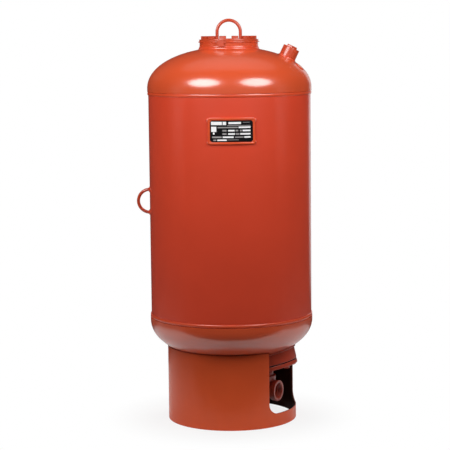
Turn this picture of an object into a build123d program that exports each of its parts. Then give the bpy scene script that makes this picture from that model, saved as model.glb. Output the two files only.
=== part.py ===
"""A skirted well pressure tank with a replaceable bladder.

A rolled steel shell is closed by two dished heads whose straight lips lap over its ends.
The tank stands on a sheet skirt with an access window, through which the bladder's bolted
mouth and the water elbow are reached. A neck on top is closed by a cover under a
castellated locking ring, and the bladder hangs from that cover.
"""

from build123d import *
from math import acos, atan, cos, radians, sin, tan
import os

os.makedirs("parts", exist_ok=True)

# All lengths are in millimetres. The tank stands on z = 0 and its axis is the Z axis.
# An azimuth is counted in degrees from the front (-Y) towards the right (+X).

# Fits between pieces
lap_fit = 0.15
weld_fit = 0.1
thread_fit = 0.1
glue_fit = 0.45
slip_fit = 0.5

# Shell and heads
shell_od = 609.6
shell_wall = 3.4
head_wall = 3.4
head_depth = 152.4
head_fullness = 2.08
head_bands = 7
straight_lip = 19.0
lower_tangent_z = 383.0
tangent_length = 876.0
shell_end_gap = 1.0
seam_leg = 6.5
seam_crown = 0.5

# Skirt and its access window
skirt_od = 488.3
skirt_wall = 4.8
access_azimuth = 70.0
access_width = 284.0
access_sill = 48.0
access_corner = 38.0

# Neck, forged with an inner ledge for the cover
neck_od = 219.1
neck_bore = 202.7
neck_ledge_bore = 180.0
neck_reach_in = 16.0
neck_reach_out = 20.1
neck_ledge_depth = 33.0
neck_rim_od = 228.8
neck_rim = 3.5
neck_fillet = 10.0

# Cover, seal and locking ring
seal_wall = 10.0
seal_thickness = 4.0
cover_flange = 10.0
cover_hub_od = 168.0
cover_hub = 25.0
ring_flange_od = 221.6
ring_flange = 7.7
ring_crown_od = 208.0
ring_crown = 12.4
ring_bore = 172.0
ring_notches = 14
ring_notch_width = 20.6
ring_notch_depth = 9.9
stop_azimuth = -15.0
stop_width = 25.0
stop_height = 27.0
stop_proud = 3.0

# Lifting rings, both bent from the same rod
rod_diameter = 12.0
rod_bend_radius = 43.6
rod_bend_chords = 8
top_ring_leg = 29.0
side_ring_drop = 424.7
side_ring_azimuth = -90.0

# Charging coupling on the top head
charge_azimuth = 90.0
charge_inset = 86.8
charge_od = 63.5
charge_length = 40.0
charge_reach_in = 8.0
charge_bore = 44.6
charge_floor = 9.0
charge_edge = 2.0
charge_plug_flats = 38.0
charge_plug_head = 7.5
charge_plug_shank = 16.0
charge_plug_wall = 5.0
charge_plug_edge = 3.0

# Air valve in the coupling's floor
valve_thread = 9.6
valve_flats = 14.0
valve_hex = 5.0
valve_stem = 7.7
valve_height = 21.0
valve_cap_od = 11.0
valve_cap_length = 12.0
valve_cap_top = 1.0

# Plugged boss on the shoulder
boss_azimuth = 76.0
boss_inset = 34.8
boss_od = 31.0
boss_bore = 21.0
boss_proud = 3.0
boss_reach_in = 7.0
boss_plug_length = 11.0
boss_plug_square = 9.5
boss_plug_recess = 7.0

# Nameplate pan on the shell's front
plate_azimuth = 1.2
plate_drop = 145.0
pan_width = 171.0
pan_height = 97.0
pan_depth = 6.0
pan_sheet = 2.0
pan_corner = 8.0
plate_width = 149.0
plate_height = 75.0
plate_corner = 7.0
plate_sheet = 0.8

# Bladder mouth on the lower head
mouth_radius = 135.0
mouth_flange_od = 228.6
mouth_flange_thickness = 32.0
mouth_bore = 152.4
mouth_blank = 40.0
bladder_reach = 50.0
lip_thickness = 3.0
lip_inset = 1.0
mouth_cover_thickness = 15.0
mouth_edge = 1.5
bolt_count = 8
bolt_circle = 190.0
bolt_diameter = 12.7
bolt_flats = 19.0
bolt_head = 8.0
bolt_engagement = 20.0
bolt_hole_depth = 24.0
bolt_clearance = 0.6

# Bladder
bladder_gap = 6.4
bladder_end_inset = 75.0
bladder_end_gap = 57.4
bladder_wall = 3.0
bladder_lower_rise = 8.0
bladder_upper_drop = 20.0
bladder_boss_od = 64.0
bladder_boss_above = 8.0
bladder_boss_below = 9.0

# Hanger between the bladder and the cover
hanger_diameter = 16.0
hanger_flange_od = 56.0
hanger_flange = 4.0
hanger_engagement = 14.0
hanger_nut_flats = 24.0
hanger_nut_height = 13.0

# Water pipe and elbow
pipe_od = 60.3
pipe_wall = 3.9
pipe_reach_in = 4.0
elbow_azimuth = 61.0
elbow_drop = 118.6
elbow_reach = 57.0
elbow_band_od = 80.0
elbow_band = 22.0
elbow_body_od = 66.0
elbow_bend_radius = 35.0
elbow_body_chords = 2
elbow_water_chords = 1
elbow_socket = 20.0
elbow_waterway = 52.0

# Radii and heights that follow from the sizes above
shell_radius = shell_od / 2
lap_radius = shell_radius + lap_fit
head_radius = lap_radius + head_wall
upper_tangent_z = lower_tangent_z + tangent_length
neck_radius = neck_od / 2
charge_radius = shell_radius - charge_inset
boss_radius = shell_radius - boss_inset
bladder_radius = shell_radius - shell_wall - bladder_gap
bladder_shoulder = head_depth - bladder_end_gap
elbow_z = lower_tangent_z - head_depth - elbow_drop
side_ring_z = upper_tangent_z - side_ring_drop
plate_z = upper_tangent_z - plate_drop


def compass(azimuth):
    """Level direction away from the tank's axis at an azimuth."""
    return Vector(sin(radians(azimuth)), -cos(radians(azimuth)), 0)


def across(azimuth):
    """Level direction round the tank at an azimuth, to the right as seen from outside."""
    return Vector(cos(radians(azimuth)), sin(radians(azimuth)), 0)


def wall_plane(azimuth, radius, height):
    """Upright plane that faces outwards at a distance from the axis."""
    origin = compass(azimuth) * radius + Vector(0, 0, height)
    return Plane(origin=origin, x_dir=across(azimuth), z_dir=compass(azimuth))


def dome_height(radius):
    """Height of a head's outside above its tangent line, at a distance from the axis."""
    return head_depth * (1 - (radius / head_radius) ** head_fullness) ** (1 / head_fullness)


def head_seat(tangent_z, way, azimuth, radius):
    """Plane that touches a head's outside, with its normal pointing out of the tank."""
    across_share = (radius / head_radius) ** (head_fullness - 1)
    height_share = (dome_height(radius) / head_depth) ** (head_fullness - 1)
    tilt = atan(head_depth * across_share / (head_radius * height_share))
    origin = compass(azimuth) * radius + Vector(0, 0, tangent_z + way * dome_height(radius))
    outwards = compass(azimuth) * sin(tilt) + Vector(0, 0, way * cos(tilt))
    return Plane(origin=origin, x_dir=across(azimuth), z_dir=outwards)


def dome_curve(radius, depth, bands, tangent_z, way):
    """Points of a dome's section, an ellipse filled out a little, from its tangent line to its top."""
    shares = [sin(radians(90 * band / bands)) ** (2 / head_fullness) for band in range(bands + 1)]
    return [
        (radius * out, tangent_z + way * depth * up)
        for out, up in zip(reversed(shares), shares)
    ]


def head_outline(tangent_z, way):
    """Half section of a dished head with its lip and the weld that seals it to the shell."""
    outside = dome_curve(head_radius, head_depth, head_bands, tangent_z, way)
    inside = dome_curve(lap_radius, head_depth - head_wall, head_bands, tangent_z, way)
    rim_z = tangent_z - way * straight_lip
    weld = [
        (lap_radius, rim_z - way * seam_leg),
        (lap_radius + head_wall / 2 + seam_crown, rim_z - way * seam_leg / 2),
    ]
    return [(head_radius, rim_z), *outside, *reversed(inside), *weld, (head_radius, rim_z)]


def dome_outline(tangent_z, way):
    """Half section of all that lies within a dome, for trimming what sits on it."""
    curve = dome_curve(head_radius, head_depth, head_bands, tangent_z, way)
    return [(0, tangent_z), *curve, (0, tangent_z)]


def bladder_outline(inset):
    """Half section of the bladder's bag, drawn in by an inset."""
    radius = bladder_radius - inset
    end_radius = radius - bladder_end_inset
    lower_z = lower_tangent_z + bladder_lower_rise
    upper_z = upper_tangent_z - bladder_upper_drop
    foot_z = lower_z - bladder_shoulder + inset
    top_z = upper_z + bladder_shoulder - inset
    return [
        (0, foot_z),
        (end_radius, foot_z),
        (radius, lower_z),
        (radius, upper_z),
        (end_radius, top_z),
        (0, top_z),
        (0, foot_z),
    ]


def elbow_line(end, chords):
    """Points of the elbow's centre line, with chords that touch its bend between two straight ends."""
    turn = 90 / (chords + 1)
    reach = elbow_bend_radius / cos(radians(turn / 2))
    turns = [radians(turn * (mitre + 0.5)) for mitre in range(chords + 1)]
    mitres = [(elbow_bend_radius - reach * cos(t), elbow_bend_radius - reach * sin(t)) for t in turns]
    return [(0, end), *mitres, (end, 0)]


def rod_bend(leg):
    """Points of a lifting ring's centre line, from one foot round the bend to the other."""
    turns = [radians(180 * chord / rod_bend_chords) for chord in range(rod_bend_chords + 1)]
    bend = [(rod_bend_radius * cos(turn), leg + rod_bend_radius * sin(turn)) for turn in turns]
    return [(rod_bend_radius, 0), *bend, (-rod_bend_radius, 0)]


def write(part, label):
    """Label a finished piece and write it to its own file."""
    part.label = label
    export_step(part, f"parts/{label}.step")


# Where the fittings stand
charge_seat = head_seat(upper_tangent_z, 1, charge_azimuth, charge_radius)
boss_seat = head_seat(upper_tangent_z, 1, boss_azimuth, boss_radius)
mouth_seat = head_seat(lower_tangent_z, -1, access_azimuth, mouth_radius)
elbow_corner = Vector(mouth_seat.origin.X, mouth_seat.origin.Y, elbow_z)
inlet_plane = Plane(origin=elbow_corner, x_dir=across(elbow_azimuth), z_dir=(0, 0, 1))
outlet_plane = Plane(origin=elbow_corner, x_dir=across(elbow_azimuth), z_dir=compass(elbow_azimuth))
bend_plane = Plane(origin=elbow_corner, x_dir=compass(elbow_azimuth), z_dir=across(elbow_azimuth) * -1)
side_ring_normal = compass(side_ring_azimuth)

# Heights in the neck, from the head up
neck_foot_z = upper_tangent_z + dome_height(neck_radius) - neck_reach_in
neck_top_z = upper_tangent_z + head_depth + neck_reach_out
ledge_z = neck_top_z - neck_ledge_depth
cover_z = ledge_z + seal_thickness
cover_flange_top_z = cover_z + cover_flange
cover_top_z = cover_flange_top_z + cover_hub
ring_top_z = neck_top_z + ring_flange + ring_crown

# The filled domes trim the pieces that sit on the heads.
with BuildPart() as upper_dome:
    with BuildSketch(Plane.XZ):
        with BuildLine():
            Polyline(*dome_outline(upper_tangent_z, 1))
        make_face()
    revolve(axis=Axis.Z)

with BuildPart() as lower_dome:
    with BuildSketch(Plane.XZ):
        with BuildLine():
            Polyline(*dome_outline(lower_tangent_z, -1))
        make_face()
    revolve(axis=Axis.Z)

# Shell
with BuildPart() as shell:
    with BuildSketch(Plane.XY.offset(lower_tangent_z + shell_end_gap)):
        Circle(shell_radius)
        Circle(shell_radius - shell_wall, mode=Mode.SUBTRACT)
    extrude(amount=tangent_length - 2 * shell_end_gap)
write(shell.part, "shell")

# Top head, pierced for the neck, the coupling and the boss
with BuildPart() as top_head:
    with BuildSketch(Plane.XZ):
        with BuildLine():
            Polyline(*head_outline(upper_tangent_z, 1))
        make_face()
    revolve(axis=Axis.Z)
    with BuildSketch(Plane.XY.offset(upper_tangent_z)):
        Circle(neck_radius + weld_fit)
    extrude(amount=2 * head_depth, mode=Mode.SUBTRACT)
    with BuildSketch(charge_seat):
        Circle(charge_od / 2 + weld_fit)
    extrude(amount=charge_length, both=True, mode=Mode.SUBTRACT)
    with BuildSketch(boss_seat):
        Circle(boss_od / 2 + weld_fit)
    extrude(amount=boss_od, both=True, mode=Mode.SUBTRACT)
write(top_head.part, "top_head")

# Bottom head, pierced for the bladder's mouth
with BuildPart() as bottom_head:
    with BuildSketch(Plane.XZ):
        with BuildLine():
            Polyline(*head_outline(lower_tangent_z, -1))
        make_face()
    revolve(axis=Axis.Z)
    with BuildSketch(mouth_seat):
        Circle(mouth_bore / 2)
    extrude(amount=mouth_flange_thickness, both=True, mode=Mode.SUBTRACT)
write(bottom_head.part, "bottom_head")

# Skirt, trimmed to the lower dome and cut away for the mouth and the elbow
with BuildPart() as skirt:
    with BuildSketch():
        Circle(skirt_od / 2)
        Circle(skirt_od / 2 - skirt_wall, mode=Mode.SUBTRACT)
    extrude(amount=lower_tangent_z)
    add(lower_dome.part, mode=Mode.SUBTRACT)
    with BuildSketch(wall_plane(access_azimuth, 0, access_sill)) as window:
        Rectangle(access_width, lower_tangent_z, align=(Align.CENTER, Align.MIN))
        fillet(window.vertices().group_by(Axis.Y)[0], radius=access_corner)
    extrude(amount=skirt_od, mode=Mode.SUBTRACT)
write(skirt.part, "skirt")

# Neck, with the fillet that welds it to the head
with BuildPart() as neck:
    with BuildSketch(Plane.XZ):
        with BuildLine():
            toe_radius = neck_radius + neck_fillet
            toe_z = upper_tangent_z + dome_height(toe_radius)
            crown_z = toe_z + neck_fillet
            inner_radius = neck_bore / 2
            Polyline(
                (inner_radius, toe_z - neck_fillet),
                (toe_radius, toe_z - neck_fillet),
                (toe_radius, toe_z),
                (neck_radius, crown_z),
                (inner_radius, crown_z),
                (inner_radius, toe_z - neck_fillet),
            )
        make_face()
    revolve(axis=Axis.Z)
    add(upper_dome.part, mode=Mode.SUBTRACT)
    with BuildSketch(Plane.XZ):
        with BuildLine():
            Polyline(
                (neck_ledge_bore / 2, neck_foot_z),
                (neck_radius, neck_foot_z),
                (neck_radius, neck_top_z - neck_rim),
                (neck_rim_od / 2, neck_top_z - neck_rim),
                (neck_rim_od / 2, neck_top_z),
                (neck_bore / 2, neck_top_z),
                (neck_bore / 2, ledge_z),
                (neck_ledge_bore / 2, ledge_z),
                (neck_ledge_bore / 2, neck_foot_z),
            )
        make_face()
    revolve(axis=Axis.Z)
write(neck.part, "neck")

# Flat rubber seal on the neck's ledge
with BuildPart() as cover_seal:
    with BuildSketch(Plane.XY.offset(ledge_z)):
        Circle(neck_bore / 2 - slip_fit)
        Circle(neck_bore / 2 - slip_fit - seal_wall, mode=Mode.SUBTRACT)
    extrude(amount=seal_thickness)
write(cover_seal.part, "cover_seal")

# Cover, held down by its flange, with a blind thread below for the hanger
with BuildPart() as top_cover:
    with BuildSketch(Plane.XY.offset(cover_z)):
        Circle(neck_bore / 2 - slip_fit)
    extrude(amount=cover_flange)
    with BuildSketch(Plane.XY.offset(cover_flange_top_z)):
        Circle(cover_hub_od / 2)
    extrude(amount=cover_hub)
    with BuildSketch(Plane.XY.offset(cover_z)):
        Circle(hanger_diameter / 2 + thread_fit)
    extrude(amount=hanger_engagement + slip_fit, mode=Mode.SUBTRACT)
write(top_cover.part, "top_cover")

# Castellated locking ring, screwed into the neck down to the cover's flange
with BuildPart() as locking_ring:
    with BuildSketch(Plane.XZ):
        with BuildLine():
            Polyline(
                (ring_bore / 2, cover_flange_top_z),
                (neck_bore / 2 - thread_fit, cover_flange_top_z),
                (neck_bore / 2 - thread_fit, neck_top_z),
                (ring_flange_od / 2, neck_top_z),
                (ring_flange_od / 2, neck_top_z + ring_flange),
                (ring_crown_od / 2, neck_top_z + ring_flange),
                (ring_crown_od / 2, ring_top_z),
                (ring_bore / 2, ring_top_z),
                (ring_bore / 2, cover_flange_top_z),
            )
        make_face()
    revolve(axis=Axis.Z)
    with BuildSketch(Plane.XY.offset(ring_top_z)):
        with PolarLocations(ring_crown_od / 2, ring_notches, start_angle=-90):
            Rectangle(2 * (ring_crown_od - ring_bore), ring_notch_width)
    extrude(amount=-ring_notch_depth, mode=Mode.SUBTRACT)
write(locking_ring.part, "locking_ring")

# Stop lug welded to the neck in front of the locking ring
with BuildPart() as ring_stop:
    stop_foot_z = neck_top_z + ring_flange - stop_height
    with BuildSketch(wall_plane(stop_azimuth, 0, stop_foot_z)):
        Rectangle(stop_width, stop_height, align=(Align.CENTER, Align.MIN))
    extrude(amount=neck_rim_od / 2 + stop_proud)
    with BuildSketch(Plane.XY.offset(stop_foot_z)):
        Circle(neck_radius + weld_fit)
    extrude(amount=stop_height, mode=Mode.SUBTRACT)
    with BuildSketch(Plane.XY.offset(neck_top_z - neck_rim - weld_fit)):
        Circle(neck_rim_od / 2 + weld_fit)
    extrude(amount=neck_rim + weld_fit, mode=Mode.SUBTRACT)
    with BuildSketch(Plane.XY.offset(neck_top_z)):
        Circle(ring_flange_od / 2 + weld_fit)
    extrude(amount=ring_flange, mode=Mode.SUBTRACT)
write(ring_stop.part, "ring_stop")

# Lifting ring on the cover
with BuildPart() as top_lifting_ring:
    with BuildLine(Plane.XZ) as top_rod:
        Polyline(*[(x, cover_top_z + z) for x, z in rod_bend(top_ring_leg)])
    with BuildSketch(Plane.XY.offset(cover_top_z)):
        with Locations((rod_bend_radius, 0)):
            Circle(rod_diameter / 2)
    sweep(path=top_rod.line, transition=Transition.RIGHT)
write(top_lifting_ring.part, "top_lifting_ring")

# Lifting ring on the shell's side, its feet trimmed to the shell
with BuildPart() as side_lifting_ring:
    foot_centre = side_ring_normal * (shell_radius - rod_diameter) + Vector(0, 0, side_ring_z)
    rod_plane = Plane(origin=foot_centre, x_dir=(0, 0, 1), z_dir=Vector(0, 0, 1).cross(side_ring_normal))
    with BuildLine(rod_plane) as side_rod:
        Polyline(*rod_bend(rod_diameter))
    with BuildSketch(Plane(origin=foot_centre, x_dir=(0, 0, 1), z_dir=side_ring_normal)):
        with Locations((rod_bend_radius, 0)):
            Circle(rod_diameter / 2)
    sweep(path=side_rod.line, transition=Transition.RIGHT)
    with BuildSketch(Plane.XY.offset(side_ring_z)):
        Circle(shell_radius + weld_fit)
    extrude(amount=rod_bend_radius + rod_diameter, both=True, mode=Mode.SUBTRACT)
write(side_lifting_ring.part, "side_lifting_ring")

# Charging coupling, bored to a floor that carries the air valve
charge_axis = Axis(charge_seat.origin, charge_seat.z_dir)
with BuildPart() as charging_coupling:
    with BuildSketch(charge_seat.offset(-charge_reach_in)):
        Circle(charge_od / 2)
    extrude(amount=charge_reach_in + charge_length)
    chamfer(charging_coupling.edges().sort_by(charge_axis)[-1], length=charge_edge)
    with BuildSketch(charge_seat.offset(charge_length)):
        Circle(charge_bore / 2)
    extrude(amount=charge_floor - charge_reach_in - charge_length, mode=Mode.SUBTRACT)
    with BuildSketch(charge_seat.offset(-charge_reach_in)):
        Circle(valve_thread / 2 + thread_fit)
    extrude(amount=charge_floor, mode=Mode.SUBTRACT)
write(charging_coupling.part, "charging_coupling")

# Hollow plug that shields the air valve
with BuildPart() as charging_plug:
    with BuildSketch(charge_seat.offset(charge_length)):
        RegularPolygon(charge_plug_flats / 2, 6, major_radius=False)
    extrude(amount=charge_plug_head)
    chamfer(charging_plug.edges().group_by(charge_axis)[-1], length=charge_plug_edge)
    with BuildSketch(charge_seat.offset(charge_length - charge_plug_shank)):
        Circle(charge_bore / 2 - thread_fit)
    extrude(amount=charge_plug_shank)
    with BuildSketch(charge_seat.offset(charge_length - charge_plug_shank)):
        Circle(charge_bore / 2 - charge_plug_wall)
    extrude(amount=charge_plug_shank, mode=Mode.SUBTRACT)
write(charging_plug.part, "charging_plug")

# Air valve screwed into the coupling's floor, and the cap on its stem
valve_foot = charge_floor - charge_reach_in
with BuildPart() as air_valve:
    with BuildSketch(charge_seat.offset(-charge_reach_in)):
        Circle(valve_thread / 2)
    extrude(amount=charge_floor)
    with BuildSketch(charge_seat.offset(valve_foot)):
        RegularPolygon(valve_flats / 2, 6, major_radius=False)
    extrude(amount=valve_hex)
    with BuildSketch(charge_seat.offset(valve_foot + valve_hex)):
        Circle(valve_stem / 2)
    extrude(amount=valve_height - valve_hex)
write(air_valve.part, "air_valve")

with BuildPart() as valve_cap:
    with BuildSketch(charge_seat.offset(valve_foot + valve_height + valve_cap_top)):
        Circle(valve_cap_od / 2)
    extrude(amount=-valve_cap_length)
    with BuildSketch(charge_seat.offset(valve_foot + valve_height)):
        Circle(valve_stem / 2 + thread_fit)
    extrude(amount=-valve_cap_length, mode=Mode.SUBTRACT)
write(valve_cap.part, "valve_cap")

# Boss on the shoulder, and its plug with a square recess
with BuildPart() as shoulder_boss:
    with BuildSketch(boss_seat.offset(-boss_reach_in)):
        Circle(boss_od / 2)
        Circle(boss_bore / 2, mode=Mode.SUBTRACT)
    extrude(amount=boss_reach_in + boss_proud)
write(shoulder_boss.part, "shoulder_boss")

with BuildPart() as shoulder_plug:
    with BuildSketch(boss_seat.offset(boss_proud)):
        Circle(boss_bore / 2 - thread_fit)
    extrude(amount=-boss_plug_length)
    with BuildSketch(boss_seat.offset(boss_proud)):
        Rectangle(boss_plug_square, boss_plug_square)
    extrude(amount=-boss_plug_recess, mode=Mode.SUBTRACT)
write(shoulder_plug.part, "shoulder_plug")

# Pressed pan on the shell's front, rolled to the shell and hollow behind
pan_plane = wall_plane(plate_azimuth, 0, plate_z)
pan_radius = shell_radius + pan_depth
with BuildPart() as pan_hollow:
    with BuildSketch(pan_plane):
        RectangleRounded(pan_width - 2 * pan_sheet, pan_height - 2 * pan_sheet, pan_corner - pan_sheet)
    extrude(amount=shell_od)
    with BuildSketch(Plane.XY.offset(plate_z)):
        Circle(pan_radius - pan_sheet)
    extrude(amount=pan_height, both=True, mode=Mode.INTERSECT)

with BuildPart() as nameplate_pan:
    with BuildSketch(pan_plane):
        RectangleRounded(pan_width, pan_height, pan_corner)
    extrude(amount=shell_od)
    with BuildSketch(Plane.XY.offset(plate_z)):
        Circle(pan_radius)
        Circle(shell_radius + weld_fit, mode=Mode.SUBTRACT)
    extrude(amount=pan_height, both=True, mode=Mode.INTERSECT)
    add(pan_hollow.part, mode=Mode.SUBTRACT)
write(nameplate_pan.part, "nameplate_pan")

# Nameplate stuck on the pan
with BuildPart() as nameplate:
    with BuildSketch(pan_plane) as plate_outline:
        Rectangle(plate_width, plate_height)
        chamfer(plate_outline.vertices(), length=plate_corner)
    extrude(amount=shell_od)
    with BuildSketch(Plane.XY.offset(plate_z)):
        Circle(pan_radius + glue_fit + plate_sheet)
        Circle(pan_radius + glue_fit, mode=Mode.SUBTRACT)
    extrude(amount=plate_height, both=True, mode=Mode.INTERSECT)
write(nameplate.part, "nameplate")

# Distances from the lower dome, along the mouth's normal
lip_height = mouth_flange_thickness
cover_height = lip_height + lip_thickness
bolt_height = cover_height + mouth_cover_thickness

# Flange of the bladder's mouth, set on the lower dome
with BuildPart() as mouth_flange:
    with BuildSketch(mouth_seat.offset(lip_height)):
        Circle(mouth_flange_od / 2)
    extrude(amount=-(mouth_flange_thickness + mouth_blank))
    add(lower_dome.part, mode=Mode.SUBTRACT)
    with BuildSketch(mouth_seat.offset(lip_height)):
        Circle(mouth_bore / 2)
    extrude(amount=-(mouth_flange_thickness + mouth_blank), mode=Mode.SUBTRACT)
    with BuildSketch(mouth_seat.offset(lip_height)):
        with PolarLocations(bolt_circle / 2, bolt_count, start_angle=180 / bolt_count):
            Circle(bolt_diameter / 2 + thread_fit)
    extrude(amount=-bolt_hole_depth, mode=Mode.SUBTRACT)
write(mouth_flange.part, "mouth_flange")

# Bladder, a rubber bag whose lip is clamped at the mouth and whose top carries a boss
bladder_top_z = upper_tangent_z - bladder_upper_drop + bladder_shoulder
boss_top_z = bladder_top_z + bladder_boss_above
boss_foot_z = bladder_top_z - bladder_boss_below
with BuildPart() as bladder:
    with BuildSketch(Plane.XZ):
        with BuildLine():
            Polyline(*bladder_outline(0))
        make_face()
    revolve(axis=Axis.Z)
    with BuildSketch(mouth_seat.offset(lip_height)):
        Circle(mouth_bore / 2 - slip_fit)
    extrude(amount=-(lip_height + bladder_reach))
    with BuildSketch(Plane.XZ):
        with BuildLine():
            Polyline(*bladder_outline(bladder_wall))
        make_face()
    revolve(axis=Axis.Z, mode=Mode.SUBTRACT)
    with BuildSketch(mouth_seat.offset(lip_height)):
        Circle(mouth_flange_od / 2 - lip_inset)
    extrude(amount=lip_thickness)
    with BuildSketch(mouth_seat.offset(cover_height)):
        Circle(mouth_bore / 2 - slip_fit - bladder_wall)
    extrude(amount=-(cover_height + bladder_reach), mode=Mode.SUBTRACT)
    with BuildSketch(mouth_seat.offset(lip_height)):
        with PolarLocations(bolt_circle / 2, bolt_count, start_angle=180 / bolt_count):
            Circle(bolt_diameter / 2 + bolt_clearance)
    extrude(amount=lip_thickness, mode=Mode.SUBTRACT)
    with BuildSketch(Plane.XY.offset(boss_foot_z)):
        Circle(bladder_boss_od / 2)
    extrude(amount=boss_top_z - boss_foot_z)
    with BuildSketch(Plane.XY.offset(boss_foot_z)):
        Circle(hanger_diameter / 2 + thread_fit)
    extrude(amount=boss_top_z - boss_foot_z, mode=Mode.SUBTRACT)
write(bladder.part, "bladder")

# Hanger stud, from a flange inside the bladder's boss up into the cover
with BuildPart() as bladder_hanger:
    with BuildSketch(Plane.XY.offset(boss_foot_z)):
        Circle(hanger_flange_od / 2)
    extrude(amount=-hanger_flange)
    with BuildSketch(Plane.XY.offset(boss_foot_z)):
        Circle(hanger_diameter / 2)
    extrude(amount=cover_z + hanger_engagement - boss_foot_z)
write(bladder_hanger.part, "bladder_hanger")

with BuildPart() as hanger_nut:
    with BuildSketch(Plane.XY.offset(boss_top_z)):
        RegularPolygon(hanger_nut_flats / 2, 6, major_radius=False)
        Circle(hanger_diameter / 2 + thread_fit, mode=Mode.SUBTRACT)
    extrude(amount=hanger_nut_height)
write(hanger_nut.part, "hanger_nut")

# Plate bolted over the mouth, with the water pipe welded upright through it
mouth_axis = Axis(mouth_seat.origin, mouth_seat.z_dir)
with BuildPart() as mouth_cover:
    with BuildSketch(mouth_seat.offset(cover_height)):
        Circle(mouth_flange_od / 2)
    extrude(amount=mouth_cover_thickness)
    chamfer(mouth_cover.edges().sort_by(mouth_axis)[-1], length=mouth_edge)
    with BuildSketch(mouth_seat.offset(cover_height)):
        with PolarLocations(bolt_circle / 2, bolt_count, start_angle=180 / bolt_count):
            Circle(bolt_diameter / 2 + bolt_clearance)
    extrude(amount=mouth_cover_thickness, mode=Mode.SUBTRACT)
    with BuildSketch(inlet_plane):
        Circle(pipe_od / 2 + weld_fit)
    extrude(amount=elbow_z + mouth_flange_od, mode=Mode.SUBTRACT)
write(mouth_cover.part, "mouth_cover")

with BuildPart() as mouth_bolts:
    with BuildSketch(mouth_seat.offset(bolt_height)):
        with PolarLocations(bolt_circle / 2, bolt_count, start_angle=180 / bolt_count):
            RegularPolygon(bolt_flats / 2, 6, major_radius=False)
    extrude(amount=bolt_head)
    with BuildSketch(mouth_seat.offset(bolt_height)):
        with PolarLocations(bolt_circle / 2, bolt_count, start_angle=180 / bolt_count):
            Circle(bolt_diameter / 2)
    extrude(amount=-(mouth_cover_thickness + lip_thickness + bolt_engagement))
write(mouth_bolts.part, "mouth_bolts")

# Upright water pipe
mouth_tilt = acos(-mouth_seat.z_dir.Z)
pipe_foot = elbow_reach - elbow_socket
pipe_top_z = (
    mouth_seat.origin.Z
    - cover_height / cos(mouth_tilt)
    + pipe_od / 2 * tan(mouth_tilt)
    + pipe_reach_in
)
with BuildPart() as water_pipe:
    with BuildSketch(inlet_plane.offset(pipe_foot)):
        Circle(pipe_od / 2)
        Circle(pipe_od / 2 - pipe_wall, mode=Mode.SUBTRACT)
    extrude(amount=pipe_top_z - elbow_z - pipe_foot)
write(water_pipe.part, "water_pipe")

# Cast elbow with a banded socket at each end, cut by the space that its sockets and waterway take
with BuildPart() as elbow_space:
    with BuildLine(bend_plane) as water_line:
        Polyline(*elbow_line(elbow_reach - elbow_socket, elbow_water_chords))
    with BuildSketch(inlet_plane.offset(elbow_reach - elbow_socket)):
        Circle(elbow_waterway / 2)
    sweep(path=water_line.line, transition=Transition.RIGHT)
    with BuildSketch(inlet_plane.offset(elbow_reach), outlet_plane.offset(elbow_reach)):
        Circle(pipe_od / 2 + thread_fit)
    extrude(amount=-elbow_socket)

with BuildPart() as elbow:
    with BuildLine(bend_plane) as body_line:
        Polyline(*elbow_line(elbow_reach - elbow_band / 2, elbow_body_chords))
    with BuildSketch(inlet_plane.offset(elbow_reach - elbow_band / 2)):
        Circle(elbow_body_od / 2)
    sweep(path=body_line.line, transition=Transition.RIGHT)
    with BuildSketch(inlet_plane.offset(elbow_reach), outlet_plane.offset(elbow_reach)):
        Circle(elbow_band_od / 2)
    extrude(amount=-elbow_band)
    add(elbow_space.part, mode=Mode.SUBTRACT)
write(elbow.part, "elbow")
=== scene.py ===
"""A skirted well pressure tank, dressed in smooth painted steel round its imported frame."""

import logging
from collections.abc import Callable, Iterable, Sequence
from dataclasses import dataclass, field, replace
from enum import Enum
from math import asin, atan, atan2, cos, degrees, pi, radians, sin

import bmesh
import bpy
from mathutils import Matrix, Vector, noise


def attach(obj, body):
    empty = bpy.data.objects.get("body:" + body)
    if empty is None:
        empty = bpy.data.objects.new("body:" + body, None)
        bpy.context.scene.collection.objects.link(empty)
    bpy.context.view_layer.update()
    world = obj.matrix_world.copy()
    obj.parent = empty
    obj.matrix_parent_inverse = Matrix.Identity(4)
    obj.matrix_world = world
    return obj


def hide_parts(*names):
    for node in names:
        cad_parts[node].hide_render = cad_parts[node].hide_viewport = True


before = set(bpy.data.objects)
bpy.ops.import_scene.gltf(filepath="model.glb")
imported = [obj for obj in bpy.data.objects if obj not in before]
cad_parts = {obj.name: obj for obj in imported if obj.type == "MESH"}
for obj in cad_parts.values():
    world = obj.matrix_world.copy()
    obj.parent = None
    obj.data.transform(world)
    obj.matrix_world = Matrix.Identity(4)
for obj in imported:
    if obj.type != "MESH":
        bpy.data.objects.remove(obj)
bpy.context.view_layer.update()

log = logging.getLogger("tank")

# Lengths are in millimetres up to the last step of a piece, except in finishes and in the studio.
MM = 0.001
FULL_TURN = 2 * pi
UP = Vector((0, 0, 1))

# How far a cutting tool or a joined part runs past the face it meets, and the width of the strips
# that a flat form is cut into before it is rolled.
OVER = 1.0
STRIP = 4.0

# Steps of large and small turned forms, of holes, of a blank's corners, of the roundings in a
# section, of a prism's edges, of a rod and its bend, and of a bead's section and its ripples.
FINE_STEPS = 256
COARSE_STEPS = 96
HOLE_STEPS = 32
ROUND_STEPS = 8
SECTION_STEPS = 5
EDGE_STEPS = 3
ROD_STEPS = 32
BEND_STEPS = 64
BEAD_STEPS = 12
RIPPLE_STEPS = 3

# Weld: lumps per radius, their depth, a shift from lump to lump, ripples and wobble of a bead.
LUMPS = 1.6
LUMP_DEPTH = 0.22
LUMP_SHIFT = 7.3
RIPPLE_DEPTH = 0.09
WOBBLE_DEPTH = 0.16
WOBBLE_SIZE = 9.0

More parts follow.
